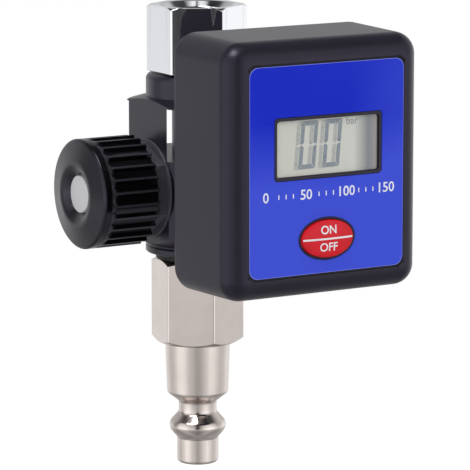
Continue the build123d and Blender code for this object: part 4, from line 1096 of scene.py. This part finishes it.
class HousingOperator(bpy.types.Operator):
    """Gauge housing: rounded box with label recess, display opening, button collar, and rear cover"""

    bl_idname = "regulator.housing"
    bl_label = "Gauge housing"

    def execute(self, context):
        size = sizes()
        width = HOUSING_HIGH.x - HOUSING_LOW.x
        height = HOUSING_HIGH.z - HOUSING_LOW.z
        wall = 2.0
        inner_front = GAUGE_FRONT - 2.2
        label_width = LABEL_HIGH.x - LABEL_LOW.x + 2 * (GROOVE - LABEL_TRIM)
        label_height = LABEL_HIGH.z - LABEL_LOW.z + 2 * (GROOVE - LABEL_TRIM)
        label_corner = size.label_corner + GROOVE
        corner = size.box_corner
        loops = [(COVER_SEAT, rounded_rectangle(width - 0.5, height - 0.5, corner - 0.25)),
                 (COVER_SEAT + 0.12, rounded_rectangle(width - 0.16, height - 0.16, corner - 0.08)),
                 (COVER_SEAT + 0.3, rounded_rectangle(width, height, corner))]
        slope = math.tan(size.draft)
        for step in range(13):
            angle = math.radians(90 * step / 12)
            depth = GAUGE_FRONT - size.front_round * (1 - math.sin(angle))
            inset = size.front_round * (1 - math.cos(angle)) + slope * (depth - COVER_SEAT)
            loops.append((depth, rounded_rectangle(width - 2 * inset, height - 2 * inset, max(corner - inset, 0.4))))
        for grow, depth in ((0.12, 0.0), (0.04, 0.03), (0.0, 0.1), (0.0, 0.3)):
            loops.append((GAUGE_FRONT - depth, rounded_rectangle(
                label_width + 2 * grow, label_height + 2 * grow, label_corner + grow)))
        trench = LABEL_SEAT - 0.35
        loops.append((trench, rounded_rectangle(label_width, label_height, label_corner)))
        seat_width = label_width - 1.6
        seat_height = label_height - 1.6
        loops.append((trench, rounded_rectangle(seat_width, seat_height, label_corner - 0.8)))
        loops.append((LABEL_SEAT, rounded_rectangle(seat_width, seat_height, label_corner - 0.8)))
        loops.append((inner_front, rounded_rectangle(seat_width, seat_height, label_corner - 0.8)))
        for depth in (inner_front, COVER_SEAT):
            loops.append((depth, rounded_rectangle(width - 2 * wall, height - 2 * wall, corner - wall)))
        shell = facing_mesh("housing_shell", loops, GAUGE_Z, ring=True, sharp=40.0)
        display = [(x + DISPLAY_X, z + DISPLAY_Z) for x, z in rounded_rectangle(21.9, 10.4, 0.6)]
        button = [(x, z + BUTTON_Z) for x, z in oval(11.3, 7.1)]
        outer = [(x, z + GAUGE_Z) for x, z in rounded_rectangle(seat_width, seat_height, label_corner - 0.8)]
        wall_plate = plate_mesh("housing_wall", [outer, display, button], inner_front, LABEL_SEAT)
        rim_outer = [(x + DISPLAY_X, z + DISPLAY_Z) for x, z in rounded_rectangle(23.1, 11.6, 0.8)]
        rim = plate_mesh("display_rim", [rim_outer, display], LABEL_SEAT - 0.3, GAUGE_FRONT - 0.05, 0.08)
        collar_outer = [(x, z + BUTTON_Z) for x, z in oval(12.1, 7.9)]
        collar = plate_mesh("button_collar", [collar_outer, button], LABEL_SEAT - 0.3, GAUGE_FRONT + 0.04, 0.1)
        mesh = joined("housing_finished", [shell, wall_plate, rim, collar])
        piece("gauge_housing", mesh, "regulator", "housing_plastic", finish("housing"), "front_housing")
        self.cover()
        return {"FINISHED"}

    def cover(self):
        """Rear cover with its pry slot, from the CAD piece with its edges broken."""
        source = frame["nodes"]["rear_cover"].data.copy()
        work = bmesh.new()
        work.from_mesh(source)
        bmesh.ops.remove_doubles(work, verts=work.verts, dist=1e-6)
        bmesh.ops.dissolve_limit(work, angle_limit=math.radians(0.5), verts=work.verts, edges=work.edges)
        work.to_mesh(source)
        work.free()
        mesh = bevelled(source, 0.12)
        finish_shading(mesh, 30.0)
        piece("gauge_rear_cover", mesh, "regulator", "housing_plastic", finish("housing"), "rear_cover")


class LabelOperator(bpy.types.Operator):
    """Face label, its plain scale of numbers, and the display with its figures"""

    bl_idname = "regulator.label"
    bl_label = "Label and display"

    def digit(self, left, low, lift, height, name):
        """The six lit bars of a seven-bar nought, leaning to the right."""
        width = 3.6
        bar = 0.8
        gap = 0.09
        lean = math.tan(sizes().digit_slant)
        middle = height / 2
        bevel = bar
        corners = {
            "top": [(gap, height), (width - gap, height), (width - bevel, height - bar), (bevel, height - bar)],
            "foot": [(gap, 0), (width - gap, 0), (width - bevel, bar), (bevel, bar)],
            "upper_left": [(0, height - gap), (0, middle + 2 * gap), (bar / 2, middle + gap),
                           (bar, middle + bar / 2), (bar, height - bevel - gap)],
            "lower_left": [(0, gap), (0, middle - 2 * gap), (bar / 2, middle - gap), (bar, middle - bar / 2),
                           (bar, bevel + gap)],
        }
        corners["upper_right"] = [(width - x, z) for x, z in corners["upper_left"]]
        corners["lower_right"] = [(width - x, z) for x, z in corners["lower_left"]]
        bars = []
        for outline in corners.values():
            placed = [(left + x + lean * z, low + z) for x, z in outline]
            bars.append(plate_mesh(name, [placed], CELL_FRONT, CELL_FRONT + lift))
        return bars

    def execute(self, context):
        size = sizes()
        width = LABEL_HIGH.x - LABEL_LOW.x - 2 * LABEL_TRIM
        height = LABEL_HIGH.z - LABEL_LOW.z - 2 * LABEL_TRIM
        outer = [(x, z + GAUGE_Z) for x, z in rounded_rectangle(width, height, size.label_corner, 4, 12)]
        window = [(x + DISPLAY_X, z + DISPLAY_Z) for x, z in rounded_rectangle(23.2, 11.7, 0.8)]
        hole = [(x, z + BUTTON_Z) for x, z in oval(12.2, 8.0)]
        mesh = plate_mesh("label_finished", [outer, window, hole], LABEL_SEAT, LABEL_FRONT, 0.07)
        piece("label_plate", mesh, "regulator", "label_film", finish("label"), "face_label")
        # Pale ring at the label's front edge: a painted highlight
        self.pale_edge_painted_highlight(outer)
        # Black ring in the groove round the label: a painted shadow
        self.painted_groove_shadow(width, height)
        self.scale()
        self.display()
        return {"FINISHED"}

    def painted_groove_shadow(self, width, height):
        """Black ring that fills the groove between the label and the housing: a painted shadow in the groove."""
        corner = sizes().label_corner
        loops = []
        for grow, depth in ((0.03, LABEL_SEAT - 0.3), (0.03, LABEL_FRONT - 0.14), (0.1, LABEL_FRONT - 0.1),
                            (GROOVE - 0.1, LABEL_FRONT - 0.1), (GROOVE - 0.02, LABEL_FRONT - 0.14),
                            (GROOVE - 0.02, LABEL_SEAT - 0.3)):
            loops.append((depth, rounded_rectangle(width + 2 * grow, height + 2 * grow, corner + grow)))
        mesh = facing_mesh("painted_groove_shadow", loops, GAUGE_Z, ring=True)
        piece("label_groove_painted_shadow", mesh, "regulator", "black_rubber", finish("groove"))

    def pale_edge_painted_highlight(self, outline):
        """Pale edge of the clear film all round the label, painted lighter as a highlight along its front."""
        middle = Vector((0, GAUGE_Z))
        loops = []
        for grow, depth in ((0.02, LABEL_FRONT - 0.1), (0.02, LABEL_FRONT - 0.02), (0.0, LABEL_FRONT + 0.01),
                            (-0.08, LABEL_FRONT + 0.01), (-0.08, LABEL_FRONT - 0.05)):
            loop = []
            for x, z in outline:
                away = Vector((x, z)) - middle
                wide = 1 + 2 * grow / (LABEL_HIGH.x - LABEL_LOW.x)
                tall = 1 + 2 * grow / (LABEL_HIGH.z - LABEL_LOW.z)
                loop.append((away.x * wide, away.y * tall))
            loops.append((depth, loop))
        mesh = facing_mesh("film_edge_painted_highlight", loops, GAUGE_Z, ring=True)
        piece("label_edge_painted_highlight", mesh, "regulator", "label_film", finish("film_edge_painted_highlight"))

    def scale(self):
        """A plain printed scale: four numbers with ticks between them."""
        row_z = GAUGE_Z - 4.6
        spacing = 8.6
        centre = -0.2
        print_front = LABEL_FRONT + 0.02
        parts = []
        for index, number in enumerate(("0", "50", "100", "150")):
            x = centre + (index - 1.5) * spacing
            parts.append(words_mesh(number, 1.9, LABEL_FRONT, 0.04, x, row_z, 0.03))
            if index < 3:
                for tick in range(3):
                    tick_x = x + 2.75 + (spacing - 5.5) * tick / 2
                    outline = [(tick_x - 0.11, row_z - 0.42), (tick_x + 0.11, row_z - 0.42),
                               (tick_x + 0.11, row_z + 0.42), (tick_x - 0.11, row_z + 0.42)]
                    parts.append(plate_mesh("tick", [outline], LABEL_FRONT - 0.02, print_front))
        mesh = joined("scale_print", parts)
        piece("printed_scale", mesh, "regulator", "label_film", finish("print"))

    def display(self):
        """Liquid crystal cell with two noughts, their shadows on its back, and a unit."""
        low = (GLASS_LOW.x, GLASS_LOW.z)
        high = (GLASS_HIGH.x, GLASS_HIGH.z)
        glass = [(low[0], low[1]), (high[0], low[1]), (high[0], high[1]), (low[0], high[1])]
        cell = plate_mesh("display_glass", [glass], -GLASS_HIGH.y, GLASS_FRONT)
        front = [(x + DISPLAY_X, z + DISPLAY_Z) for x, z in rounded_rectangle(21.8, 10.3, 0.5)]
        polariser = plate_mesh("polariser", [front], GLASS_FRONT - 0.02, CELL_FRONT, 0.05)
        mesh = joined("display_cell", [cell, polariser])
        piece("display_cell", mesh, "regulator", "display_glass", finish("display"), "lcd_panel")
        size = sizes()
        top = DISPLAY_Z + 5.2 - 0.3
        foot = top - size.digit_height
        shadows = []
        bars = []
        for left in (-5.95, -0.8):
            shadows += self.digit(left - 0.95, foot - 0.1, 0.01, size.digit_height, "shadow")
            bars += self.digit(left, foot, 0.02, size.digit_height, "bar")
        shadow_mesh = joined("figure_shadows", shadows)
        piece("display_shadows", shadow_mesh, "regulator", "display_glass", finish("ghost"))
        bars.append(words_mesh("bar", 1.4, CELL_FRONT + 0.01, 0.02, 5.6, top - 0.65))
        mesh = joined("display_figures", bars)
        piece("display_figures", mesh, "regulator", "display_glass", finish("segment"))


class ButtonOperator(bpy.types.Operator):
    """Oval push button with a crowned face, a divider and plain ON and OFF print"""

    bl_idname = "regulator.button"
    bl_label = "Push button"

    width = 11.2
    height = 7.0
    crown = 0.5

    def surface(self, x, z):
        """Depth of the crowned face at a point."""
        radius = (self.width ** 2 / 4 + self.crown ** 2) / (2 * self.crown)
        return BUTTON_TOP - 0.04 - radius + math.sqrt(radius ** 2 - x ** 2 - z ** 2)

    def execute(self, context):
        back = -BUTTON_HIGH.y
        points = []
        steps = 72
        rings = []
        for share in (1.0, 0.985, 0.95, 0.8, 0.6, 0.4, 0.2):
            ring = []
            for x, z in oval(self.width * share, self.height * share, steps):
                depth = self.surface(x, z)
                if share == 1.0:
                    depth -= 0.22
                if share == 0.985:
                    depth -= 0.06
                ring.append((x, -depth, z + BUTTON_Z))
            rings.append(ring)
        flange = GLASS_FRONT - 0.05
        first = [[(x, -depth, z + BUTTON_Z) for x, z in oval(width, height, steps)]
                 for depth, width, height in (
                     (back, 3.2, 3.2), (flange - 0.8, 3.2, 3.2), (flange - 0.8, 12.8, 8.6), (flange, 12.8, 8.6),
                     (flange, self.width, self.height))]
        loops = first + rings
        for loop in loops:
            points += loop
        faces = bridged(loops, steps, False, True)
        faces.append(tuple(range(steps)))
        points.append((0, -self.surface(0, 0), BUTTON_Z))
        last = len(points) - 1 - steps
        for step in range(steps):
            faces.append((last + step, last + (step + 1) % steps, len(points) - 1))
        mesh = new_mesh("button_finished", points, faces, sharp=40.0)
        piece("push_button", mesh, "button", "button_plastic", finish("button"), "power_button")
        self.print_words()
        return {"FINISHED"}

    def print_words(self):
        """Divider and words, laid on the crowned face."""
        parts = [words_mesh("ON", 1.6, BUTTON_TOP + 0.01, 0.05, 0.0, BUTTON_Z + 1.6, 0.03),
                 words_mesh("OFF", 1.6, BUTTON_TOP + 0.01, 0.05, 0.0, BUTTON_Z - 1.6, 0.03)]
        reach = self.width / 2 - 0.3
        steps = 24
        points = []
        for step in range(steps + 1):
            x = -reach + 2 * reach * step / steps
            for rise, lift in ((0.17, 0.035), (-0.17, 0.035), (-0.17, -0.03), (0.17, -0.03)):
                points.append((x, -BUTTON_TOP - lift, BUTTON_Z + rise))
        faces = bridged([None] * (steps + 1), 4, False, True)
        faces += [(0, 1, 2, 3), tuple(range(len(points) - 4, len(points)))]
        parts.append(new_mesh("divider", points, faces))
        mesh = joined("button_print", parts)
        for vertex in mesh.vertices:
            x, y, z = vertex.co / MM
            lift = -y - BUTTON_TOP
            vertex.co.y = -(self.surface(x, z - BUTTON_Z) + lift) * MM
        piece("button_print", mesh, "button", "button_plastic", finish("print"))


class CarriedOperator(bpy.types.Operator):
    """Finishes of the pieces that keep their CAD shape"""

    bl_idname = "regulator.carried"
    bl_label = "Carried-over pieces"

    def execute(self, context):
        for node, coat in CARRIED.items():
            mesh = frame["nodes"][node].data
            mesh.materials.clear()
            mesh.materials.append(finish(coat))
        return {"FINISHED"}


class StageOperator(bpy.types.Operator):
    """Camera, soft lamps, pale floor and white background"""

    bl_idname = "regulator.stage"
    bl_label = "Studio"

    azimuth = math.radians(-30.59)
    elevation = math.radians(9.93)
    distance = 0.6741
    lens = 264.17
    aim_across = 0.00736
    aim_height = 0.04527

    def direction(self, azimuth, elevation):
        """Unit vector from the object towards a place in the room, in degrees."""
        turn = math.radians(azimuth)
        rise = math.radians(elevation)
        return Vector((math.sin(turn) * math.cos(rise), -math.cos(turn) * math.cos(rise), math.sin(rise)))

    def lamp(self, name, azimuth, elevation, distance, size, power, mirrored):
        """Soft square lamp that looks at the object's middle; gloss shows it only where that is wanted."""
        data = bpy.data.lights.new(name, "AREA")
        data.energy = power
        data.shape = "SQUARE"
        data.size = size
        made = bpy.data.objects.new(name, data)
        towards = self.direction(azimuth, elevation)
        made.location = Vector((0, -0.02, 0.05)) + towards * distance
        made.rotation_mode = "QUATERNION"
        made.rotation_quaternion = towards.to_track_quat("Z", "Y")
        made.visible_glossy = mirrored
        made.visible_diffuse = not mirrored
        bpy.context.scene.collection.objects.link(made)

    def world(self):
        """White behind the object; the room that polished surfaces see is darker round the camera."""
        room = bpy.data.worlds.new("white_studio")
        bpy.context.scene.world = room
        room.use_nodes = True
        tree = room.node_tree
        tree.nodes.clear()
        way = add_node(tree, "ShaderNodeTexCoord").outputs["Generated"]
        axes = add_node(tree, "ShaderNodeSeparateXYZ", {"Vector": way})
        ahead = add_node(tree, "ShaderNodeMath", {0: axes.outputs["Y"], 1: -1.0}, operation="MULTIPLY")
        angle = add_node(tree, "ShaderNodeMath", {
            0: axes.outputs["X"], 1: ahead.outputs["Value"]}, operation="ARCTAN2")
        share = add_node(tree, "ShaderNodeMapRange", {
            "Value": angle.outputs["Value"], "From Min": -math.pi, "From Max": math.pi})
        # Round the room as the nut and the box see it, and as the plug below them sees it
        upper = ((-180, 0.45), (-165, 0.51), (-149, 0.49), (-143, 0.28), (-126, 0.28), (-112, 0.88), (-80, 0.93),
                 (-66, 0.7), (-50, 0.58), (-40, 0.42), (-36, 0.04), (-25, 0.04), (-20, 0.28), (-8, 0.6), (8, 0.93),
                 (28, 0.97), (44, 0.75), (60, 0.44), (80, 0.55), (103, 0.74), (125, 0.46), (180, 0.45))
        lower = ((-180, 0.49), (-165, 0.48), (-150, 0.41), (-141, 0.38), (-124, 0.44), (-109, 0.61), (-95, 0.68),
                 (-82, 0.68), (-70, 0.55), (-59, 0.43), (-48, 0.4), (-36, 0.31), (-25, 0.31), (-14, 0.37),
                 (-3, 0.45), (9, 0.59), (21, 0.65), (34, 0.6), (47, 0.49), (62, 0.4), (80, 0.43), (103, 0.56),
                 (125, 0.46), (180, 0.49))
        rounds = []
        for stops in (lower, upper):
            ramp = add_node(tree, "ShaderNodeValToRGB", {"Fac": share.outputs["Result"]})
            self.fill_ramp(ramp, [((degrees + 180) / 360, level) for degrees, level in stops])
            rounds.append(ramp.outputs["Color"])
        height = add_node(tree, "ShaderNodeMapRange", {"Value": axes.outputs["Z"], "From Min": -1.0, "From Max": 1.0})
        change = add_node(tree, "ShaderNodeMapRange", {
            "Value": height.outputs["Result"], "From Min": 0.412, "From Max": 0.426})
        around = add_node(tree, "ShaderNodeMix", {
            "Factor": change.outputs["Result"], 6: rounds[0], 7: rounds[1]}, data_type="RGBA")
        layers = add_node(tree, "ShaderNodeValToRGB", {"Fac": height.outputs["Result"]})
        self.fill_ramp(layers, ((0.0, 0.4), (0.2, 0.45), (0.33, 0.75), (0.375, 0.97), (0.41, 1.0), (0.5, 0.82), (0.58, 0.66), (0.75, 0.55), (0.82, 0.42),
                                (0.88, 0.06), (0.965, 0.06), (0.985, 0.5), (1.0, 0.6)))
        seen = add_node(tree, "ShaderNodeVectorMath", {
            0: around.outputs[2], 1: layers.outputs["Color"]}, operation="MULTIPLY")
        mirrored = add_node(tree, "ShaderNodeVectorMath", {
            0: seen.outputs["Vector"], "Scale": 2.0}, operation="SCALE")
        path = add_node(tree, "ShaderNodeLightPath")
        reflected = add_node(tree, "ShaderNodeMath", {
            0: path.outputs["Is Glossy Ray"], 1: path.outputs["Is Transmission Ray"]}, operation="MAXIMUM")
        ambient = add_node(tree, "ShaderNodeMix", {
            "Factor": reflected.outputs["Value"], 6: (0.36, 0.36, 0.365, 1), 7: mirrored.outputs["Vector"]}, data_type="RGBA")
        final = add_node(tree, "ShaderNodeMix", {
            "Factor": path.outputs["Is Camera Ray"], 6: ambient.outputs[2], 7: (1, 1, 1, 1)}, data_type="RGBA")
        background = add_node(tree, "ShaderNodeBackground", {"Color": final.outputs[2], "Strength": 1.0})
        add_node(tree, "ShaderNodeOutputWorld", {"Surface": background.outputs["Background"]})

    def fill_ramp(self, ramp, stops):
        """Grey levels of a colour ramp from (position, level) stops."""
        elements = ramp.color_ramp.elements
        while len(elements) < len(stops):
            elements.new(0.5)
        for element, (position, level) in zip(elements, stops):
            element.position = position
            element.color = (level, level, level, 1)

    def floor(self):
        """Round pale floor below the plug, lifted to white for the camera but for the object's shadow."""
        made, tree, shader, place = start_material("pale_matt_floor", Roughness=0.9)
        shader.inputs["Base Color"].default_value = colour("E0E0E0")
        path = add_node(tree, "ShaderNodeLightPath")
        glow = add_node(tree, "ShaderNodeMath", {0: path.outputs["Is Camera Ray"], 1: 0.5}, operation="MULTIPLY")
        shader.inputs["Emission Color"].default_value = (1, 1, 1, 1)
        tree.links.new(glow.outputs["Value"], shader.inputs["Emission Strength"])
        mesh = turned_mesh("floor", [(0, -121, 0), (600, -121, 0), (600, -120, 0), (0, -120, 0)], steps=96)
        mesh.materials.append(made)
        ground = bpy.data.objects.new("studio_floor", mesh)
        ground.visible_glossy = False
        bpy.context.scene.collection.objects.link(ground)

    def execute(self, context):
        back = self.direction(math.degrees(self.azimuth), math.degrees(self.elevation))
        right = Vector((math.cos(self.azimuth), math.sin(self.azimuth), 0))
        aim = right * self.aim_across + Vector((0, 0, self.aim_height))
        data = bpy.data.cameras.new("camera")
        data.lens = self.lens
        data.sensor_width = 36.0
        data.clip_start = 0.01
        data.clip_end = 50.0
        camera = bpy.data.objects.new("camera", data)
        camera.location = aim + back * self.distance
        camera.rotation_mode = "QUATERNION"
        camera.rotation_quaternion = back.to_track_quat("Z", "Y")
        bpy.context.scene.collection.objects.link(camera)
        bpy.context.scene.camera = camera
        self.lamp("key_softbox", -75, 42, 0.9, 1.1, 4.0, False)
        self.lamp("fill_softbox", 48, 24, 1.0, 1.0, 3.2, False)
        self.lamp("top_softbox", 0, 86, 0.8, 1.1, 4.5, False)
        self.lamp("highlight_softbox", -74, 62, 0.9, 0.4, 5.0, True)
        self.world()
        self.floor()
        bpy.context.scene.view_settings.view_transform = "Standard"
        return {"FINISHED"}


class RegulatorPanel(bpy.types.Panel):
    """Sizes, colours and steps of the regulator"""

    bl_idname = "VIEW3D_PT_regulator"
    bl_label = "Regulator"
    bl_space_type = "VIEW_3D"
    bl_region_type = "UI"
    bl_category = "Regulator"

    def draw(self, context):
        layout = self.layout
        for group in (context.scene.regulator_sizes, context.scene.regulator_colours):
            for name in group.bl_rna.properties.keys():
                if name not in ("rna_type", "name"):
                    layout.prop(group, name)
        for step in STEPS:
            layout.operator(step.bl_idname)


STEPS = (InletPlugOperator, ValveBodyOperator, SwivelNutOperator, BonnetOperator, KnobOperator,
         HousingOperator, LabelOperator, ButtonOperator, CarriedOperator, StageOperator)
CLASSES = (RegulatorSizes, RegulatorColours, *STEPS, RegulatorPanel)


def register():
    """Adds the classes and the scene's properties."""
    for made in CLASSES:
        bpy.utils.register_class(made)
    bpy.types.Scene.regulator_sizes = bpy.props.PointerProperty(type=RegulatorSizes)
    bpy.types.Scene.regulator_colours = bpy.props.PointerProperty(type=RegulatorColours)


def unregister():
    """Removes what register added."""
    del bpy.types.Scene.regulator_colours
    del bpy.types.Scene.regulator_sizes
    for made in reversed(CLASSES):
        bpy.utils.unregister_class(made)


def main():
    """Builds every piece and the studio."""
    register()
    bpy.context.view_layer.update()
    for step in STEPS:
        group, name = step.bl_idname.split(".")
        getattr(getattr(bpy.ops, group), name)()


if __name__ == "__main__":
    main()
